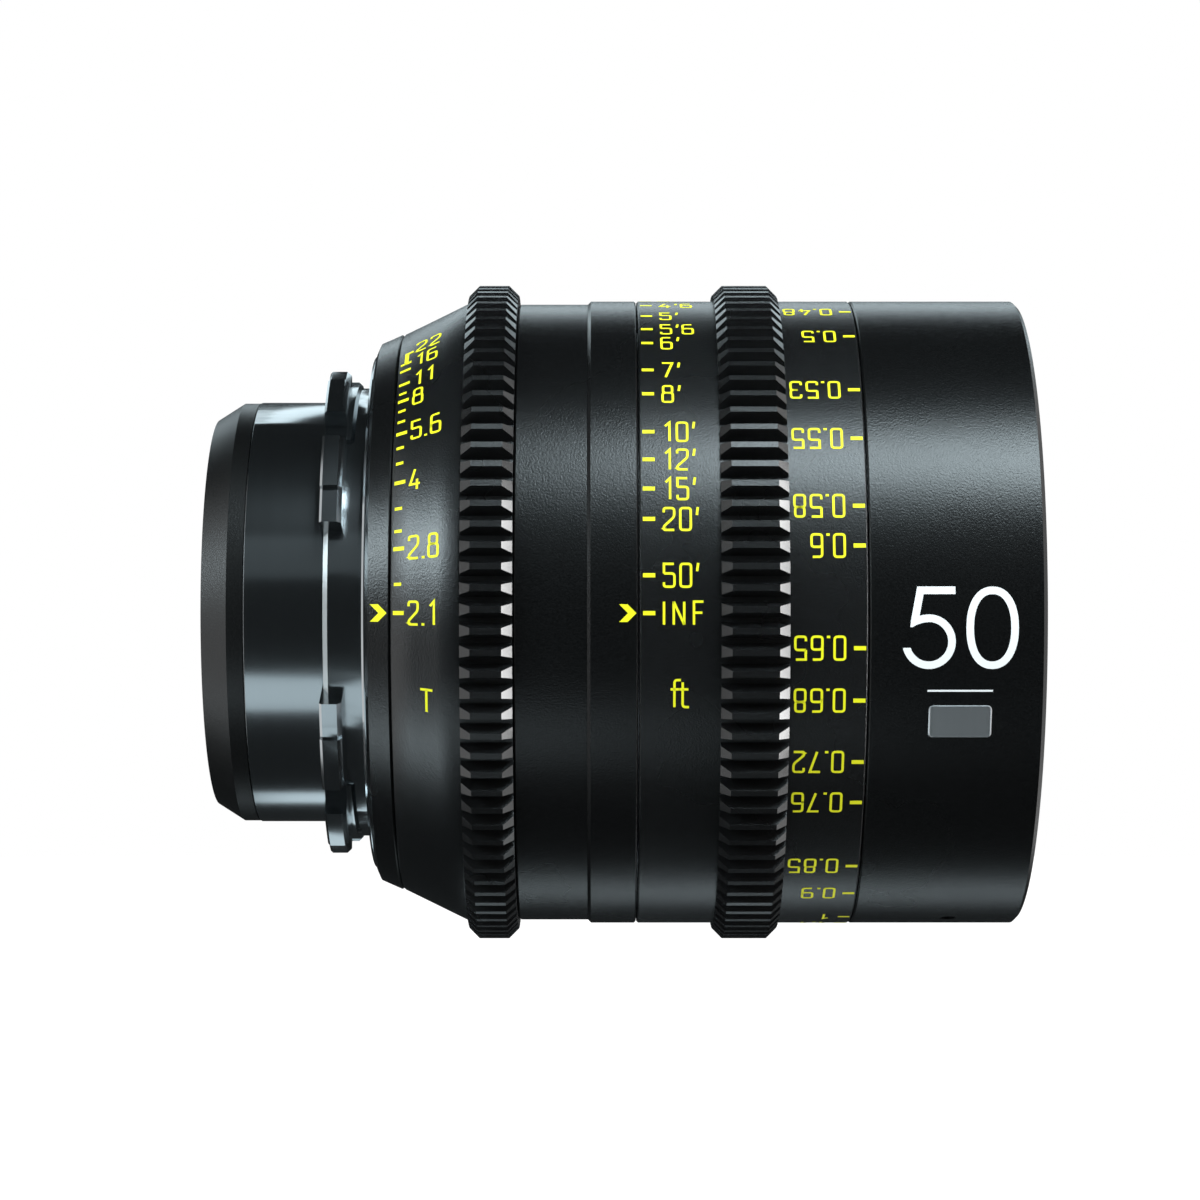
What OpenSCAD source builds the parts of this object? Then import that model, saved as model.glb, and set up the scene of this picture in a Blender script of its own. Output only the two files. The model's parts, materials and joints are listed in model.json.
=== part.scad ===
// Cinema prime lens with a four-eared bayonet mount, a geared iris ring,
// a geared focus ring and an 80 mm front barrel that takes clamp-on accessories.
// Millimetres. The optical axis is X and points out of the front, the mount's flange
// plane is X = 0, Z is up and the index marks face -Y. Modelled wide open, at infinity.

/* [Mount] */
// Diameter of the throat barrel that enters the camera
throat_d = 54; // [52:0.5:55]
// Length of the throat barrel behind the flange plane
throat_l = 9.6; // [8:0.2:12]
// Wall of the throat barrel
throat_wall = 2.6; // [2.2:0.1:3]
// Diameter over the crowns of the four ears
ear_d = 66; // [63:0.5:66]
// Diameter over the lower ends of each ear
ear_tip_d = 64.6; // [61:0.2:65]
// Thickness of the ears along the axis
ear_t = 2.7; // [2:0.1:3.2]
// Angle that one ear covers, in degrees
ear_span = 50; // [40:1:54]
// Angle that the raised crown of one ear covers, in degrees
ear_crown_span = 34; // [24:1:38]
// Width of the locating slot in each ear
ear_slot_w = 4.4; // [2:0.1:5]
// Depth of the locating slot below the crown
ear_slot_depth = 2.6; // [1:0.1:3]
// Diameter of the neck between the ears and the base flange
neck_d = 57.7; // [57:0.1:58.4]
// Distance from the flange plane to the base flange
neck_l = 5.3; // [5:0.1:7]
// Height of the two low ribs on the neck
neck_rib_h = 0.4; // [0.2:0.1:0.6]
// Diameter of the base flange that screws to the rear barrel
base_d = 66.2; // [66:0.1:66.8]
// Thickness of the base flange
base_t = 2; // [1.6:0.1:2.4]
// Part of the base flange that stands out of its seat
base_lip = 0.45; // [0.3:0.05:0.8]
// Thread diameter of the four mount screws
mount_screw_d = 1.7; // [1.4:0.1:2]
// Length of the mount screws
mount_screw_l = 5.7; // [4:0.1:5.9]
// Length of the rear baffle behind the throat
baffle_l = 5.3; // [4:0.1:8]
// Diameter of the rear baffle's cylinder
baffle_d = 53.8; // [51:0.1:53.8]
// Diameter of the rear baffle's end face
baffle_end_d = 49.6; // [46:0.2:51]
// Length of the rear baffle's tapered end
baffle_cone_l = 3.3; // [1:0.1:3.8]
// Diameter of the rear baffle's opening
baffle_open_d = 39; // [36:0.5:42]

/* [Outer rings] */
// Outer diameter of the focus ring and the front barrel
barrel_d = 80; // [80:0.5:84]
// Depth of the fixed waist below the barrel's surface
waist_step = 0.4; // [0.3:0.05:0.7]
// Visible length of the fixed rear ring
rear_ring_l = 3.1; // [2.6:0.1:4]
// Wall of the rear ring round the base flange, at its rear edge
rear_ring_wall = 0.6; // [0.5:0.05:1]
// Height of the bevel on the rear ring's rear edge
rear_ring_bevel = 0.9; // [0.6:0.1:1.2]
// Step from the iris ring down to the rear ring
rear_ring_step = 0.1; // [0.05:0.05:0.4]
// Depth of the rear tube, which the iris ring turns on, below the barrel's surface
rear_tube_depth = 7; // [6.9:0.05:7.1]
// Length of the iris ring
iris_ring_l = 14.65; // [14.05:0.1:18]
// Wall of the iris ring at its rear edge
iris_rear_wall = 2.8; // [2.3:0.1:3.5]
// Depth of the iris ring below the barrel's surface, beside its gear
iris_ring_step = 0.3; // [0.2:0.05:0.6]
// Visible length of the fixed waist
waist_l = 8.7; // [7.7:0.1:12]
// Length of the focus index ring
index_ring_l = 6.1; // [5:0.1:8]
// Length of the focus ring
focus_ring_l = 27.1; // [27:0.1:32]
// Length of the front barrel
front_barrel_l = 21.1; // [20:0.1:26]
// Running gap between neighbouring rings, along the axis
ring_gap = 0.12; // [0.1:0.02:0.3]
// Bevel on the edges of the rings
edge_bevel = 0.2; // [0.1:0.05:0.3]
// Bevel on the front edge of the front barrel
nose_bevel = 0.5; // [0.3:0.1:0.8]

/* [Gear teeth] */
// Number of teeth on each gear ring
gear_teeth = 103; // [100:1:106]
// Height of the tooth roots above the barrel's surface
tooth_root_step = 0.1; // [0.05:0.05:0.2]
// Height of the teeth
tooth_h = 1.9; // [1.7:0.05:2.1]
// Width of a tooth at its tip
tooth_tip_w = 0.75; // [0.6:0.05:0.9]
// Width of a tooth at its root
tooth_root_w = 1.85; // [1.6:0.05:2]
// Bevel on both ends of the teeth
tooth_bevel = 1.25; // [0.6:0.05:1.5]
// Width of the iris gear
iris_gear_w = 6.25; // [5.05:0.1:6.95]
// Width of the focus gear
focus_gear_w = 8.1; // [6:0.1:10]
// Distance from the focus ring's rear edge to its gear
focus_gear_inset = 9.7; // [6:0.1:12]

/* [Focus drive] */
// Turn of the focus ring from infinity to its nearest distance, in degrees
focus_throw = 270; // [240:5:280]
// Forward travel of the optical block over that turn
focus_travel = 7.3; // [6:0.1:7.6]
// Wall of the focus ring
focus_ring_wall = 1.9; // [1.8:0.05:2]
// Wall of the cam sleeve inside the focus ring
cam_wall = 2.05; // [1.95:0.05:2.2]
// Wall of the fixed guide sleeve
guide_wall = 1.8; // [1.6:0.05:2]
// Wall of the optical carrier
carrier_wall = 2.1; // [1.9:0.05:2.3]
// Diameter of the three cam followers
follower_d = 3; // [2.4:0.1:3]
// Step along the axis from one cam follower to the next
follower_step = 4; // [3.9:0.1:4.2]
// Diameter of the focus stop pin
stop_pin_d = 1.4; // [1:0.1:1.4]

/* [Iris] */
// Turn of the iris ring from wide open to its smallest stop, in degrees
iris_throw = 70; // [60:1:72]
// Diameter of the iris when wide open
aperture_d = 24; // [20:0.5:24]
// Number of iris blades
blade_count = 9; // [7:1:9]
// Swing of each blade over the whole throw, in degrees
blade_swing = 32; // [26:1:32]
// Thickness of a blade
blade_t = 0.15; // [0.1:0.01:0.18]
// Step along the axis from one blade to the next
blade_step = 0.27; // [0.25:0.01:0.3]
// Distance from the iris chamber's wall in to the blade pivots
pivot_inset = 6.1; // [5.8:0.1:6.6]
// Distance from a blade's pivot to its drive pin
drive_arm = 6; // [5.6:0.1:6.2]
// Diameter of the blade pins
blade_pin_d = 0.8; // [0.6:0.05:0.8]
// Diameter of the key that joins the iris ring to the rotor
key_d = 2.4; // [2:0.1:2.6]
// Bore of the iris chamber in the carrier
chamber_d = 51.2; // [51:0.1:51.6]

/* [Glass and front] */
// Focal length, which sets the proportions of the glass and its cells
focal_length = 50; // [49:0.5:51]
// Wall diameter of the filter thread
filter_d = 76.4; // [75:0.2:77]
// Length of the filter thread
filter_l = 5; // [4:0.2:7]
// Opening of the lip behind the filter thread
lip_d = 67.2; // [67:0.1:68]

/* [Hidden] */
$fn = 96;

// Clearances
seat_gap = 0.02;
running_gap = 0.05;
slide_gap = 0.1;
step_gap = 0.15;
cut_over = 1;

// Radii of the nested sleeves, from the outside in
barrel_r = barrel_d / 2;
waist_r = barrel_r - waist_step;
gear_root_r = barrel_r + tooth_root_step;
gear_tip_r = gear_root_r + tooth_h;
tooth_phase = 89.4;
gear_sunk = 1;
focus_bore_r = barrel_r - focus_ring_wall;
cam_r = focus_bore_r - seat_gap;
cam_bore_r = cam_r - cam_wall;
guide_r = cam_bore_r - running_gap;
guide_bore_r = guide_r - guide_wall;
carrier_r = guide_bore_r - slide_gap;
carrier_bore_r = carrier_r - carrier_wall;
sleeve_seat_r = guide_r + seat_gap;
index_seat_step = 0.5;
index_seat_r = cam_r + index_seat_step;

// Radii around the rear tube, the iris key and the iris chamber
rear_tube_r = barrel_r - rear_tube_depth;
rear_tube_wall = 2;
tube_bore_r = rear_tube_r - rear_tube_wall;
tube_seat_r = rear_tube_r + seat_gap;
iris_bore_r = rear_tube_r + running_gap;
iris_rear_r = rear_tube_r + iris_rear_wall;
rear_ring_front_r = iris_rear_r - rear_ring_step;
rear_ring_rear_r = base_d / 2 + rear_ring_wall;
chamber_r = chamber_d / 2;
chamber_wall = 1.8;
chamber_outer_r = chamber_r + chamber_wall;
chamber_fit_r = chamber_r - seat_gap;
fork_outer_gap = 0.6;
fork_inner_gap = 0.7;
fork_outer_r = tube_bore_r - fork_outer_gap;
fork_inner_r = chamber_outer_r + fork_inner_gap;
key_r = key_d / 2;
key_tip_r = fork_inner_r + slide_gap;
key_seat = 3;
key_head_r = iris_bore_r + key_seat;
prong_w = 2;

// Stations along the axis, from the mount to the nose
ring_rear_x = neck_l + base_lip;
base_front_x = neck_l + base_t;
ring_front_x = ring_rear_x + rear_ring_l;
iris_rear_x = ring_front_x + ring_gap;
iris_front_x = iris_rear_x + iris_ring_l;
waist_rear_x = iris_front_x + ring_gap;
index_rear_x = waist_rear_x + waist_l;
index_front_x = index_rear_x + index_ring_l;
focus_rear_x = index_front_x + ring_gap;
focus_front_x = focus_rear_x + focus_ring_l;
front_rear_x = focus_front_x + ring_gap;
nose_x = front_rear_x + front_barrel_l;
lip_t = 2;
filter_seat_x = nose_x - filter_l;
sleeve_front_x = filter_seat_x - lip_t;
tube_engagement = 5.2;
tube_front_x = waist_rear_x + tube_engagement;
sleeve_gap = 0.2;
sleeve_rear_x = tube_front_x + sleeve_gap;
throat_seat_l = 4.6;
throat_seat_step = 1.1;
throat_rear_x = -throat_l;

// Stations of the cam sleeve and the optical carrier
cam_rear_inset = 0.9;
cam_front_inset = 0.7;
cam_rear_x = focus_rear_x + cam_rear_inset;
cam_front_x = focus_front_x - cam_front_inset;
stop_cut = 1.6;
web_inset = 2.4;
web_x = focus_rear_x + web_inset;
web_t = 2;
web_front_x = web_x + web_t;
web_step = 1;
carrier_l = 22;
carrier_front_x = web_x + carrier_l;
follower_inset = 3;
follower_x = web_x + follower_inset;
follower_r = follower_d / 2;
follower_stem_step = 0.5;
follower_stem_r = follower_r - follower_stem_step;
follower_reach = 1.25;
follower_tip_r = cam_bore_r + follower_reach;
groove_depth = 1.45;
groove_floor_r = cam_bore_r + groove_depth;
follower_count = 3;
follower_angle = 30;
stop_pin_r = stop_pin_d / 2;
stop_pin_seat = 2.5;
stop_pin_reach = 1.2;
stop_circle_r = (cam_r + cam_bore_r) / 2;
stop_angle = 200;

// Stations of the iris stack
key_inset = 2.7;
key_x = iris_front_x - key_inset;
key_angle = 0;
rotor_t = 1.4;
rotor_offset = 1;
rotor_rear_x = key_x + key_r + rotor_offset;
rotor_front_x = rotor_rear_x + rotor_t;
stack_gap = 0.3;
stack_rear_x = rotor_rear_x - stack_gap - blade_count * blade_step;
plate_t = 1.8;
plate_front_x = stack_rear_x - step_gap;
plate_rear_x = plate_front_x - plate_t;
rear_wall_t = 2;
rear_wall_x = plate_rear_x - rear_wall_t;
cover_gap = 0.2;
cover_x = rotor_front_x + cover_gap;
cover_t = 1.5;
fork_over = 0.5;
fork_rear_x = key_x - focus_travel - key_r - fork_over;
pivot_r = chamber_r - pivot_inset;
blade_pin_r = blade_pin_d / 2;
aperture_r = aperture_d / 2;
blade_margin = 0.9;
blade_outer_r = pivot_r - blade_pin_r - blade_margin;
blade_arc = 115;
rotor_gap = 0.2;
rotor_rim = 0.6;
rotor_r = chamber_r - rotor_gap;
rotor_bore_r = pivot_r - rotor_rim;

// Mount screws on a circle round the neck
mount_screw_r = mount_screw_d / 2;
mount_screw_head_t = 0.75;
mount_screw_head_r = mount_screw_r + mount_screw_head_t;
mount_screw_margin = 0.525;
mount_screw_circle_r = neck_d / 2 + mount_screw_margin + mount_screw_head_r;
mount_screw_count = 4;
screw_end_gap = 0.2;
screw_cover = 0.6;
screw_flange_rim = 2.5;
screw_flange_front_x = neck_l + mount_screw_l + screw_cover;
screw_flange_bore_r = mount_screw_circle_r - screw_flange_rim;

// Set screws that hold the front barrel on the guide sleeve
set_screw_r = 1;
set_screw_count = 2;
set_screw_angle = 165;
set_screw_inset = 2;
set_screw_bite = 1.1;
set_screw_end_gap = 0.1;
set_screw_x = sleeve_front_x - set_screw_inset;

// Lens elements: half diameter, front vertex, front radius, rear vertex, rear radius,
// all but the places they are counted from as shares of the focal length.
// A positive radius bulges outwards, a negative one is hollow.
cement = 0.02;
front_x = carrier_front_x;
mid_x = web_front_x;
rear_x = plate_rear_x;
f = focal_length;
lens_1 = [0.5 * f, front_x + 0.2 * f, 1.4 * f, front_x + 0.14 * f, -0.76 * f];
lens_2 = [0.44 * f, front_x + 0.06 * f, 0.9 * f, front_x - 0.16 * f, 1.8 * f];
lens_3 = [0.34 * f, mid_x + 0.02 * f, 0.6 * f, mid_x - 0.16 * f, 1.2 * f];
lens_4 = [0.34 * f, mid_x - 0.16 * f - cement, -1.2 * f, mid_x - 0.2 * f, -0.8 * f];
lens_5 = [0.28 * f, rear_x - 0.12 * f, -0.6 * f, rear_x - 0.16 * f, -0.7 * f];
lens_6 = [0.28 * f, rear_x - 0.16 * f - cement, 0.7 * f, rear_x - 0.31 * f, 0.56 * f];
lens_7 = [0.32 * f, rear_x - 0.35 * f, 0.8 * f, rear_x - 0.49 * f, 1.2 * f];

// Cells and rings that hold the glass
seat_lip = 1.4;
ring_t = 1.8;
bezel_t = 1.2;
bezel_bevel = 0.2;
cell_wall = 2.5;
cell_gap = 0.6;

function sag(radius, h) = abs(radius) - sqrt(radius * radius - h * h);
// Where a lens surface meets the lens's rim, and where it stands at half diameter h
function front_at(lens, h) = lens[1] - sign(lens[2]) * sag(lens[2], h);
function rear_at(lens, h) = lens[3] + sign(lens[4]) * sag(lens[4], h);
// A hollow surface ends in a flat land inside the rim
rim_land = 0.5;
function front_edge(lens) = front_at(lens, lens[2] > 0 ? lens[0] : lens[0] - rim_land);
function rear_edge(lens) = rear_at(lens, lens[4] > 0 ? lens[0] : lens[0] - rim_land);

// Turns the drawing's axis onto X, with zero degrees up and ninety towards -Y
module along_axis() {
    rotate([0, 90, 0]) rotate([0, 0, 180]) children();
}

// Solid of revolution from points of [radius, station]
module turned(profile) {
    along_axis() rotate_extrude() polygon(profile);
}

// The same over an arc only, in degrees
module turned_arc(profile, from, span) {
    along_axis() rotate([0, 0, from]) rotate_extrude(angle = span) polygon(profile);
}

function band(r_in, r_out, x0, x1) = [[r_in, x0], [r_out, x0], [r_out, x1], [r_in, x1]];

// Round bar that points outwards from the axis
module radial_bar(r, from_r, to_r, x, angle) {
    along_axis() rotate([0, 0, angle]) translate([from_r, 0, x]) rotate([0, 90, 0])
        cylinder(r = r, h = to_r - from_r);
}

// Round bar along the axis
module axial_bar(r, circle_r, angle, x0, x1) {
    along_axis() rotate([0, 0, angle]) translate([circle_r, 0, x0]) cylinder(r = r, h = x1 - x0);
}

// Straight slot along the axis, cut through a wall from the outside
module axial_slot(width, from_r, to_r, x0, x1, angle) {
    for (x = [x0, x1]) radial_bar(width / 2, from_r, to_r, x, angle);
    along_axis() rotate([0, 0, angle]) translate([from_r, -width / 2, x0])
        cube([to_r - from_r, width, x1 - x0]);
}

function tooth_corner(k, angle) =
    let (on_tip = k == 1 || k == 2,
         r = on_tip ? gear_tip_r : gear_root_r,
         half = asin((on_tip ? tooth_tip_w : tooth_root_w) / 2 / r),
         a = angle + (k < 2 ? -half : half))
    r * [cos(a), sin(a)];

function gear_outline() =
    [for (i = [0:gear_teeth - 1]) for (k = [0:3]) tooth_corner(k, tooth_phase + 360 * i / gear_teeth)];

// Toothed band with bevelled tooth ends
module gear_band(x0, width, bore_r) {
    tip_r = gear_tip_r;
    intersection() {
        along_axis() translate([0, 0, x0]) linear_extrude(height = width) polygon(gear_outline());
        turned([[bore_r, x0], [tip_r - tooth_bevel, x0], [tip_r, x0 + tooth_bevel],
                [tip_r, x0 + width - tooth_bevel], [tip_r - tooth_bevel, x0 + width], [bore_r, x0 + width]]);
    }
}

// Mount

// The ears' rear faces seat on the camera, a hair in front of the throat's reference plane
module ear(middle) {
    sunk = 0.5;
    root_r = throat_d / 2 - sunk;
    rear_x = seat_gap;
    rear_bevel = 0.3;
    front_bevel = 0.55;
    for (step = [[ear_d / 2, ear_crown_span], [ear_tip_d / 2, ear_span]])
        turned_arc([[root_r, rear_x], [step[0] - rear_bevel, rear_x], [step[0], rear_x + rear_bevel],
                    [step[0], ear_t - front_bevel], [step[0] - front_bevel, ear_t], [root_r, ear_t]],
                   middle - step[1] / 2, step[1]);
}

module ear_slot(middle) {
    floor_r = ear_d / 2 - ear_slot_depth;
    along_axis() rotate([0, 0, middle]) translate([floor_r, -ear_slot_w / 2, -cut_over])
        cube([ear_slot_depth + cut_over, ear_slot_w, ear_t + 2 * cut_over]);
}

module neck_rib(middle) {
    span = 86;
    neck_r = neck_d / 2;
    rear_x = 1.7;
    front_x = 3.6;
    slope = 0.4;
    sunk = 0.5;
    sunk_r = neck_r - sunk;
    turned_arc([[sunk_r, rear_x], [neck_r, rear_x], [neck_r + neck_rib_h, rear_x + slope],
                [neck_r + neck_rib_h, front_x - slope], [neck_r, front_x], [sunk_r, front_x]],
               middle - span / 2, span);
}

module mount_screw(angle, gap, extra) {
    r = mount_screw_r + gap;
    head_r = mount_screw_head_r + gap;
    c = mount_screw_circle_r;
    axial_bar(r, c, angle, neck_l + seat_gap, neck_l + mount_screw_l + extra);
    along_axis() rotate([0, 0, angle]) translate([c, 0, neck_l + seat_gap - gap])
        cylinder(r1 = head_r, r2 = r, h = mount_screw_head_t);
}

module lens_mount() {
    throat_r = throat_d / 2;
    bore_r = throat_r - throat_wall;
    seat_r = bore_r + throat_seat_step;
    neck_r = neck_d / 2;
    base_r = base_d / 2;
    base_bevel = 0.25;
    throat_over = 0.2;
    neck_slope = 0.7;
    color("dimgray") difference() {
        union() {
            turned([[bore_r, throat_rear_x + throat_seat_l], [seat_r, throat_rear_x + throat_seat_l],
                    [seat_r, throat_rear_x], [throat_r - edge_bevel, throat_rear_x],
                    [throat_r, throat_rear_x + edge_bevel], [throat_r, throat_over],
                    [neck_r, throat_over + neck_slope], [neck_r, neck_l],
                    [base_r - base_bevel, neck_l], [base_r, neck_l + base_bevel],
                    [base_r, base_front_x], [bore_r, base_front_x]]);
            for (a = [45:90:315]) ear(a);
            for (a = [0, 180]) neck_rib(a);
        }
        for (a = [45:90:315]) ear_slot(a);
        for (i = [0:mount_screw_count - 1]) mount_screw(i * 360 / mount_screw_count, seat_gap, cut_over);
    }
}

module mount_screws() {
    slot_w = 0.4;
    color("silver") for (i = [0:mount_screw_count - 1]) difference() {
        mount_screw(i * 360 / mount_screw_count, 0, 0);
        along_axis() rotate([0, 0, i * 360 / mount_screw_count])
            translate([mount_screw_circle_r - mount_screw_head_r, -slot_w / 2, neck_l - cut_over])
            cube([2 * mount_screw_head_r, slot_w, cut_over + slot_w]);
    }
}

module rear_baffle() {
    end_x = throat_rear_x - baffle_l;
    seat_r = throat_d / 2 - throat_wall + throat_seat_step - seat_gap;
    stub_gap = 0.2;
    stub_wall = 1.9;
    stub_slope = 0.2;
    end_t = 1;
    stub_x = throat_rear_x + throat_seat_l - stub_gap;
    inner_r = seat_r - stub_wall;
    color("black") turned([[baffle_open_d / 2, end_x], [baffle_end_d / 2, end_x],
        [baffle_d / 2, end_x + baffle_cone_l], [baffle_d / 2, throat_rear_x - seat_gap],
        [seat_r, throat_rear_x - seat_gap], [seat_r, stub_x], [inner_r, stub_x],
        [inner_r - stub_slope, end_x + end_t], [baffle_open_d / 2, end_x + end_t]]);
}

// Fixed barrels

module rear_barrel() {
    seat_r = base_d / 2 + seat_gap;
    seat_x = base_front_x + seat_gap;
    bevel_l = 0.4;
    window_half = asin((key_r + step_gap) / tube_bore_r);
    color("black") difference() {
        turned([[seat_r, ring_rear_x], [rear_ring_rear_r, ring_rear_x],
                [rear_ring_rear_r + rear_ring_bevel, ring_rear_x + bevel_l],
                [rear_ring_front_r, ring_front_x - edge_bevel],
                [rear_ring_front_r - edge_bevel, ring_front_x],
                [rear_tube_r, ring_front_x], [rear_tube_r, tube_front_x], [tube_bore_r, tube_front_x],
                [tube_bore_r, screw_flange_front_x], [screw_flange_bore_r, screw_flange_front_x],
                [screw_flange_bore_r, seat_x], [seat_r, seat_x]]);
        turned_arc(band(tube_bore_r - cut_over, rear_tube_r + cut_over,
                        key_x - key_r - step_gap, key_x + key_r + step_gap),
                   key_angle - window_half, iris_throw + 2 * window_half);
        for (i = [0:mount_screw_count - 1])
            mount_screw(i * 360 / mount_screw_count, seat_gap, screw_end_gap);
    }
}

module main_barrel() {
    color("black") difference() {
        turned([[tube_seat_r, waist_rear_x], [waist_r - edge_bevel, waist_rear_x],
                [waist_r, waist_rear_x + edge_bevel], [waist_r, index_rear_x], [index_seat_r, index_rear_x],
                [index_seat_r, index_front_x], [sleeve_seat_r, index_front_x],
                [sleeve_seat_r, sleeve_rear_x - seat_gap], [tube_seat_r, sleeve_rear_x - seat_gap]]);
        axial_bar(stop_pin_r + seat_gap, stop_circle_r, stop_angle,
                  index_front_x - stop_pin_seat - slide_gap, index_front_x + cut_over);
    }
}

module focus_index_ring() {
    seat_r = index_seat_r + seat_gap;
    color("black") turned([[seat_r, index_rear_x + seat_gap], [waist_r, index_rear_x + seat_gap],
        [barrel_r, index_rear_x + seat_gap + waist_step], [barrel_r, index_front_x - edge_bevel],
        [barrel_r - edge_bevel, index_front_x], [seat_r, index_front_x]]);
}

module guide_sleeve() {
    color("silver") difference() {
        turned(band(guide_bore_r, guide_r, sleeve_rear_x, sleeve_front_x));
        for (k = [0:follower_count - 1])
            axial_slot(follower_d + slide_gap, guide_bore_r - cut_over, guide_r + cut_over,
                       follower_x + k * follower_step - slide_gap,
                       follower_x + k * follower_step + focus_travel + slide_gap,
                       follower_angle + k * 360 / follower_count);
        for (k = [0:set_screw_count - 1])
            radial_bar(set_screw_r + seat_gap, guide_r - set_screw_bite - set_screw_end_gap,
                       guide_r + cut_over, set_screw_x,
                       set_screw_angle + k * 360 / set_screw_count);
    }
}

module focus_stop_pin() {
    color("silver") axial_bar(stop_pin_r, stop_circle_r, stop_angle,
                               index_front_x - stop_pin_seat, cam_rear_x + stop_pin_reach);
}

module front_barrel() {
    filter_r = filter_d / 2;
    lip_r = lip_d / 2;
    lead_in = 0.3;
    color("black") difference() {
        turned([[sleeve_seat_r, front_rear_x], [barrel_r - edge_bevel, front_rear_x],
                [barrel_r, front_rear_x + edge_bevel], [barrel_r, nose_x - nose_bevel],
                [barrel_r - nose_bevel, nose_x], [filter_r + lead_in, nose_x], [filter_r, nose_x - lead_in],
                [filter_r, filter_seat_x], [lip_r, filter_seat_x], [lip_r, sleeve_front_x + seat_gap],
                [sleeve_seat_r, sleeve_front_x + seat_gap]]);
        for (k = [0:set_screw_count - 1])
            radial_bar(set_screw_r + seat_gap, guide_r - cut_over, barrel_r + cut_over, set_screw_x,
                       set_screw_angle + k * 360 / set_screw_count);
    }
}

module front_set_screws() {
    socket_r = 0.55;
    socket_depth = 1.2;
    sunk = 0.4;
    top_r = barrel_r - sunk;
    color("dimgray") for (k = [0:set_screw_count - 1]) difference() {
        radial_bar(set_screw_r, guide_r - set_screw_bite, top_r, set_screw_x,
                   set_screw_angle + k * 360 / set_screw_count);
        along_axis() rotate([0, 0, set_screw_angle + k * 360 / set_screw_count])
            translate([top_r - socket_depth, 0, set_screw_x]) rotate([0, 90, 0])
            cylinder(r = socket_r, h = socket_depth + cut_over, $fn = 6);
    }
}

// Turning rings

module iris_ring() {
    front_r = barrel_r - iris_ring_step;
    rear_r = iris_rear_r;
    gear_x = iris_front_x - iris_gear_w;
    color("black") difference() {
        union() {
            turned([[iris_bore_r, iris_rear_x], [rear_r - edge_bevel, iris_rear_x],
                    [rear_r, iris_rear_x + edge_bevel], [front_r, gear_x - edge_bevel],
                    [front_r, iris_front_x], [iris_bore_r, iris_front_x]]);
            gear_band(gear_x, iris_gear_w, front_r - gear_sunk);
        }
        radial_bar(key_r + seat_gap, iris_bore_r - cut_over, key_head_r + seat_gap, key_x, key_angle);
    }
}

module iris_key() {
    color("silver") radial_bar(key_r, key_tip_r, key_head_r, key_x, key_angle);
}

module focus_ring() {
    color("black") union() {
        turned([[focus_bore_r, focus_rear_x], [barrel_r - edge_bevel, focus_rear_x],
                [barrel_r, focus_rear_x + edge_bevel], [barrel_r, focus_front_x - edge_bevel],
                [barrel_r - edge_bevel, focus_front_x], [focus_bore_r, focus_front_x]]);
        gear_band(focus_rear_x + focus_gear_inset, focus_gear_w, barrel_r - gear_sunk);
    }
}

// Points of one cam groove, four to a station, along the path that a follower takes in the sleeve
groove_overrun = 3;
groove_steps = 46;
groove_half_w = follower_r + slide_gap / 2;
groove_overcut = 0.4;
groove_over_r = cam_bore_r - groove_overcut;

function groove_ring(x, angle) =
    [for (c = [[groove_over_r, -1], [groove_floor_r, -1], [groove_floor_r, 1], [groove_over_r, 1]])
        [c[0] * cos(angle), c[0] * sin(angle), x + c[1] * groove_half_w]];

function groove_points(k) =
    [for (i = [0:groove_steps])
        let (turn = -groove_overrun + i * (focus_throw + 2 * groove_overrun) / groove_steps)
        each groove_ring(follower_x + k * follower_step + focus_travel * turn / focus_throw,
                         follower_angle + k * 360 / follower_count - turn)];

function groove_faces() = concat(
    [[0, 1, 2], [0, 2, 3]],
    [for (i = [0:groove_steps - 1]) for (c = [0:3])
        let (a = 4 * i + c, b = 4 * i + (c + 1) % 4) each [[a, a + 4, b], [b, a + 4, b + 4]]],
    let (e = 4 * groove_steps) [[e, e + 2, e + 1], [e, e + 3, e + 2]]);

module cam_sleeve() {
    stop_half = asin((stop_pin_r + slide_gap) / stop_circle_r);
    color("silver") difference() {
        turned(band(cam_bore_r, cam_r, cam_rear_x, cam_front_x));
        turned_arc(band(cam_bore_r - cut_over, cam_r + cut_over, cam_rear_x - cut_over, cam_rear_x + stop_cut),
                   stop_angle - focus_throw - stop_half, focus_throw + 2 * stop_half);
        for (k = [0:follower_count - 1])
            along_axis() polyhedron(points = groove_points(k), faces = groove_faces());
    }
}

// Moving optical block

module optical_carrier() {
    arm_margin = 1;
    arm_half = asin((key_r + running_gap + prong_w) / chamber_r) + arm_margin;
    thread_r = lens_7[0] + cell_wall;
    color("dimgray") difference() {
        turned([[thread_r, rear_wall_x], [chamber_outer_r, rear_wall_x], [chamber_outer_r, web_x],
                [carrier_r, web_x], [carrier_r, carrier_front_x], [carrier_bore_r, carrier_front_x],
                [carrier_bore_r, web_front_x], [chamber_outer_r, web_front_x],
                [chamber_outer_r, web_front_x - web_step], [chamber_r, web_front_x - web_step],
                [chamber_r, plate_rear_x], [thread_r, plate_rear_x]]);
        turned_arc(band(chamber_r - cut_over, chamber_outer_r + cut_over,
                        rotor_rear_x - step_gap, rotor_front_x + step_gap),
                   key_angle - arm_half, iris_throw + 2 * arm_half);
        for (k = [0:follower_count - 1])
            radial_bar(follower_stem_r + seat_gap, carrier_bore_r - cut_over, carrier_r + cut_over,
                       follower_x + k * follower_step, follower_angle + k * 360 / follower_count);
    }
}

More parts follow.
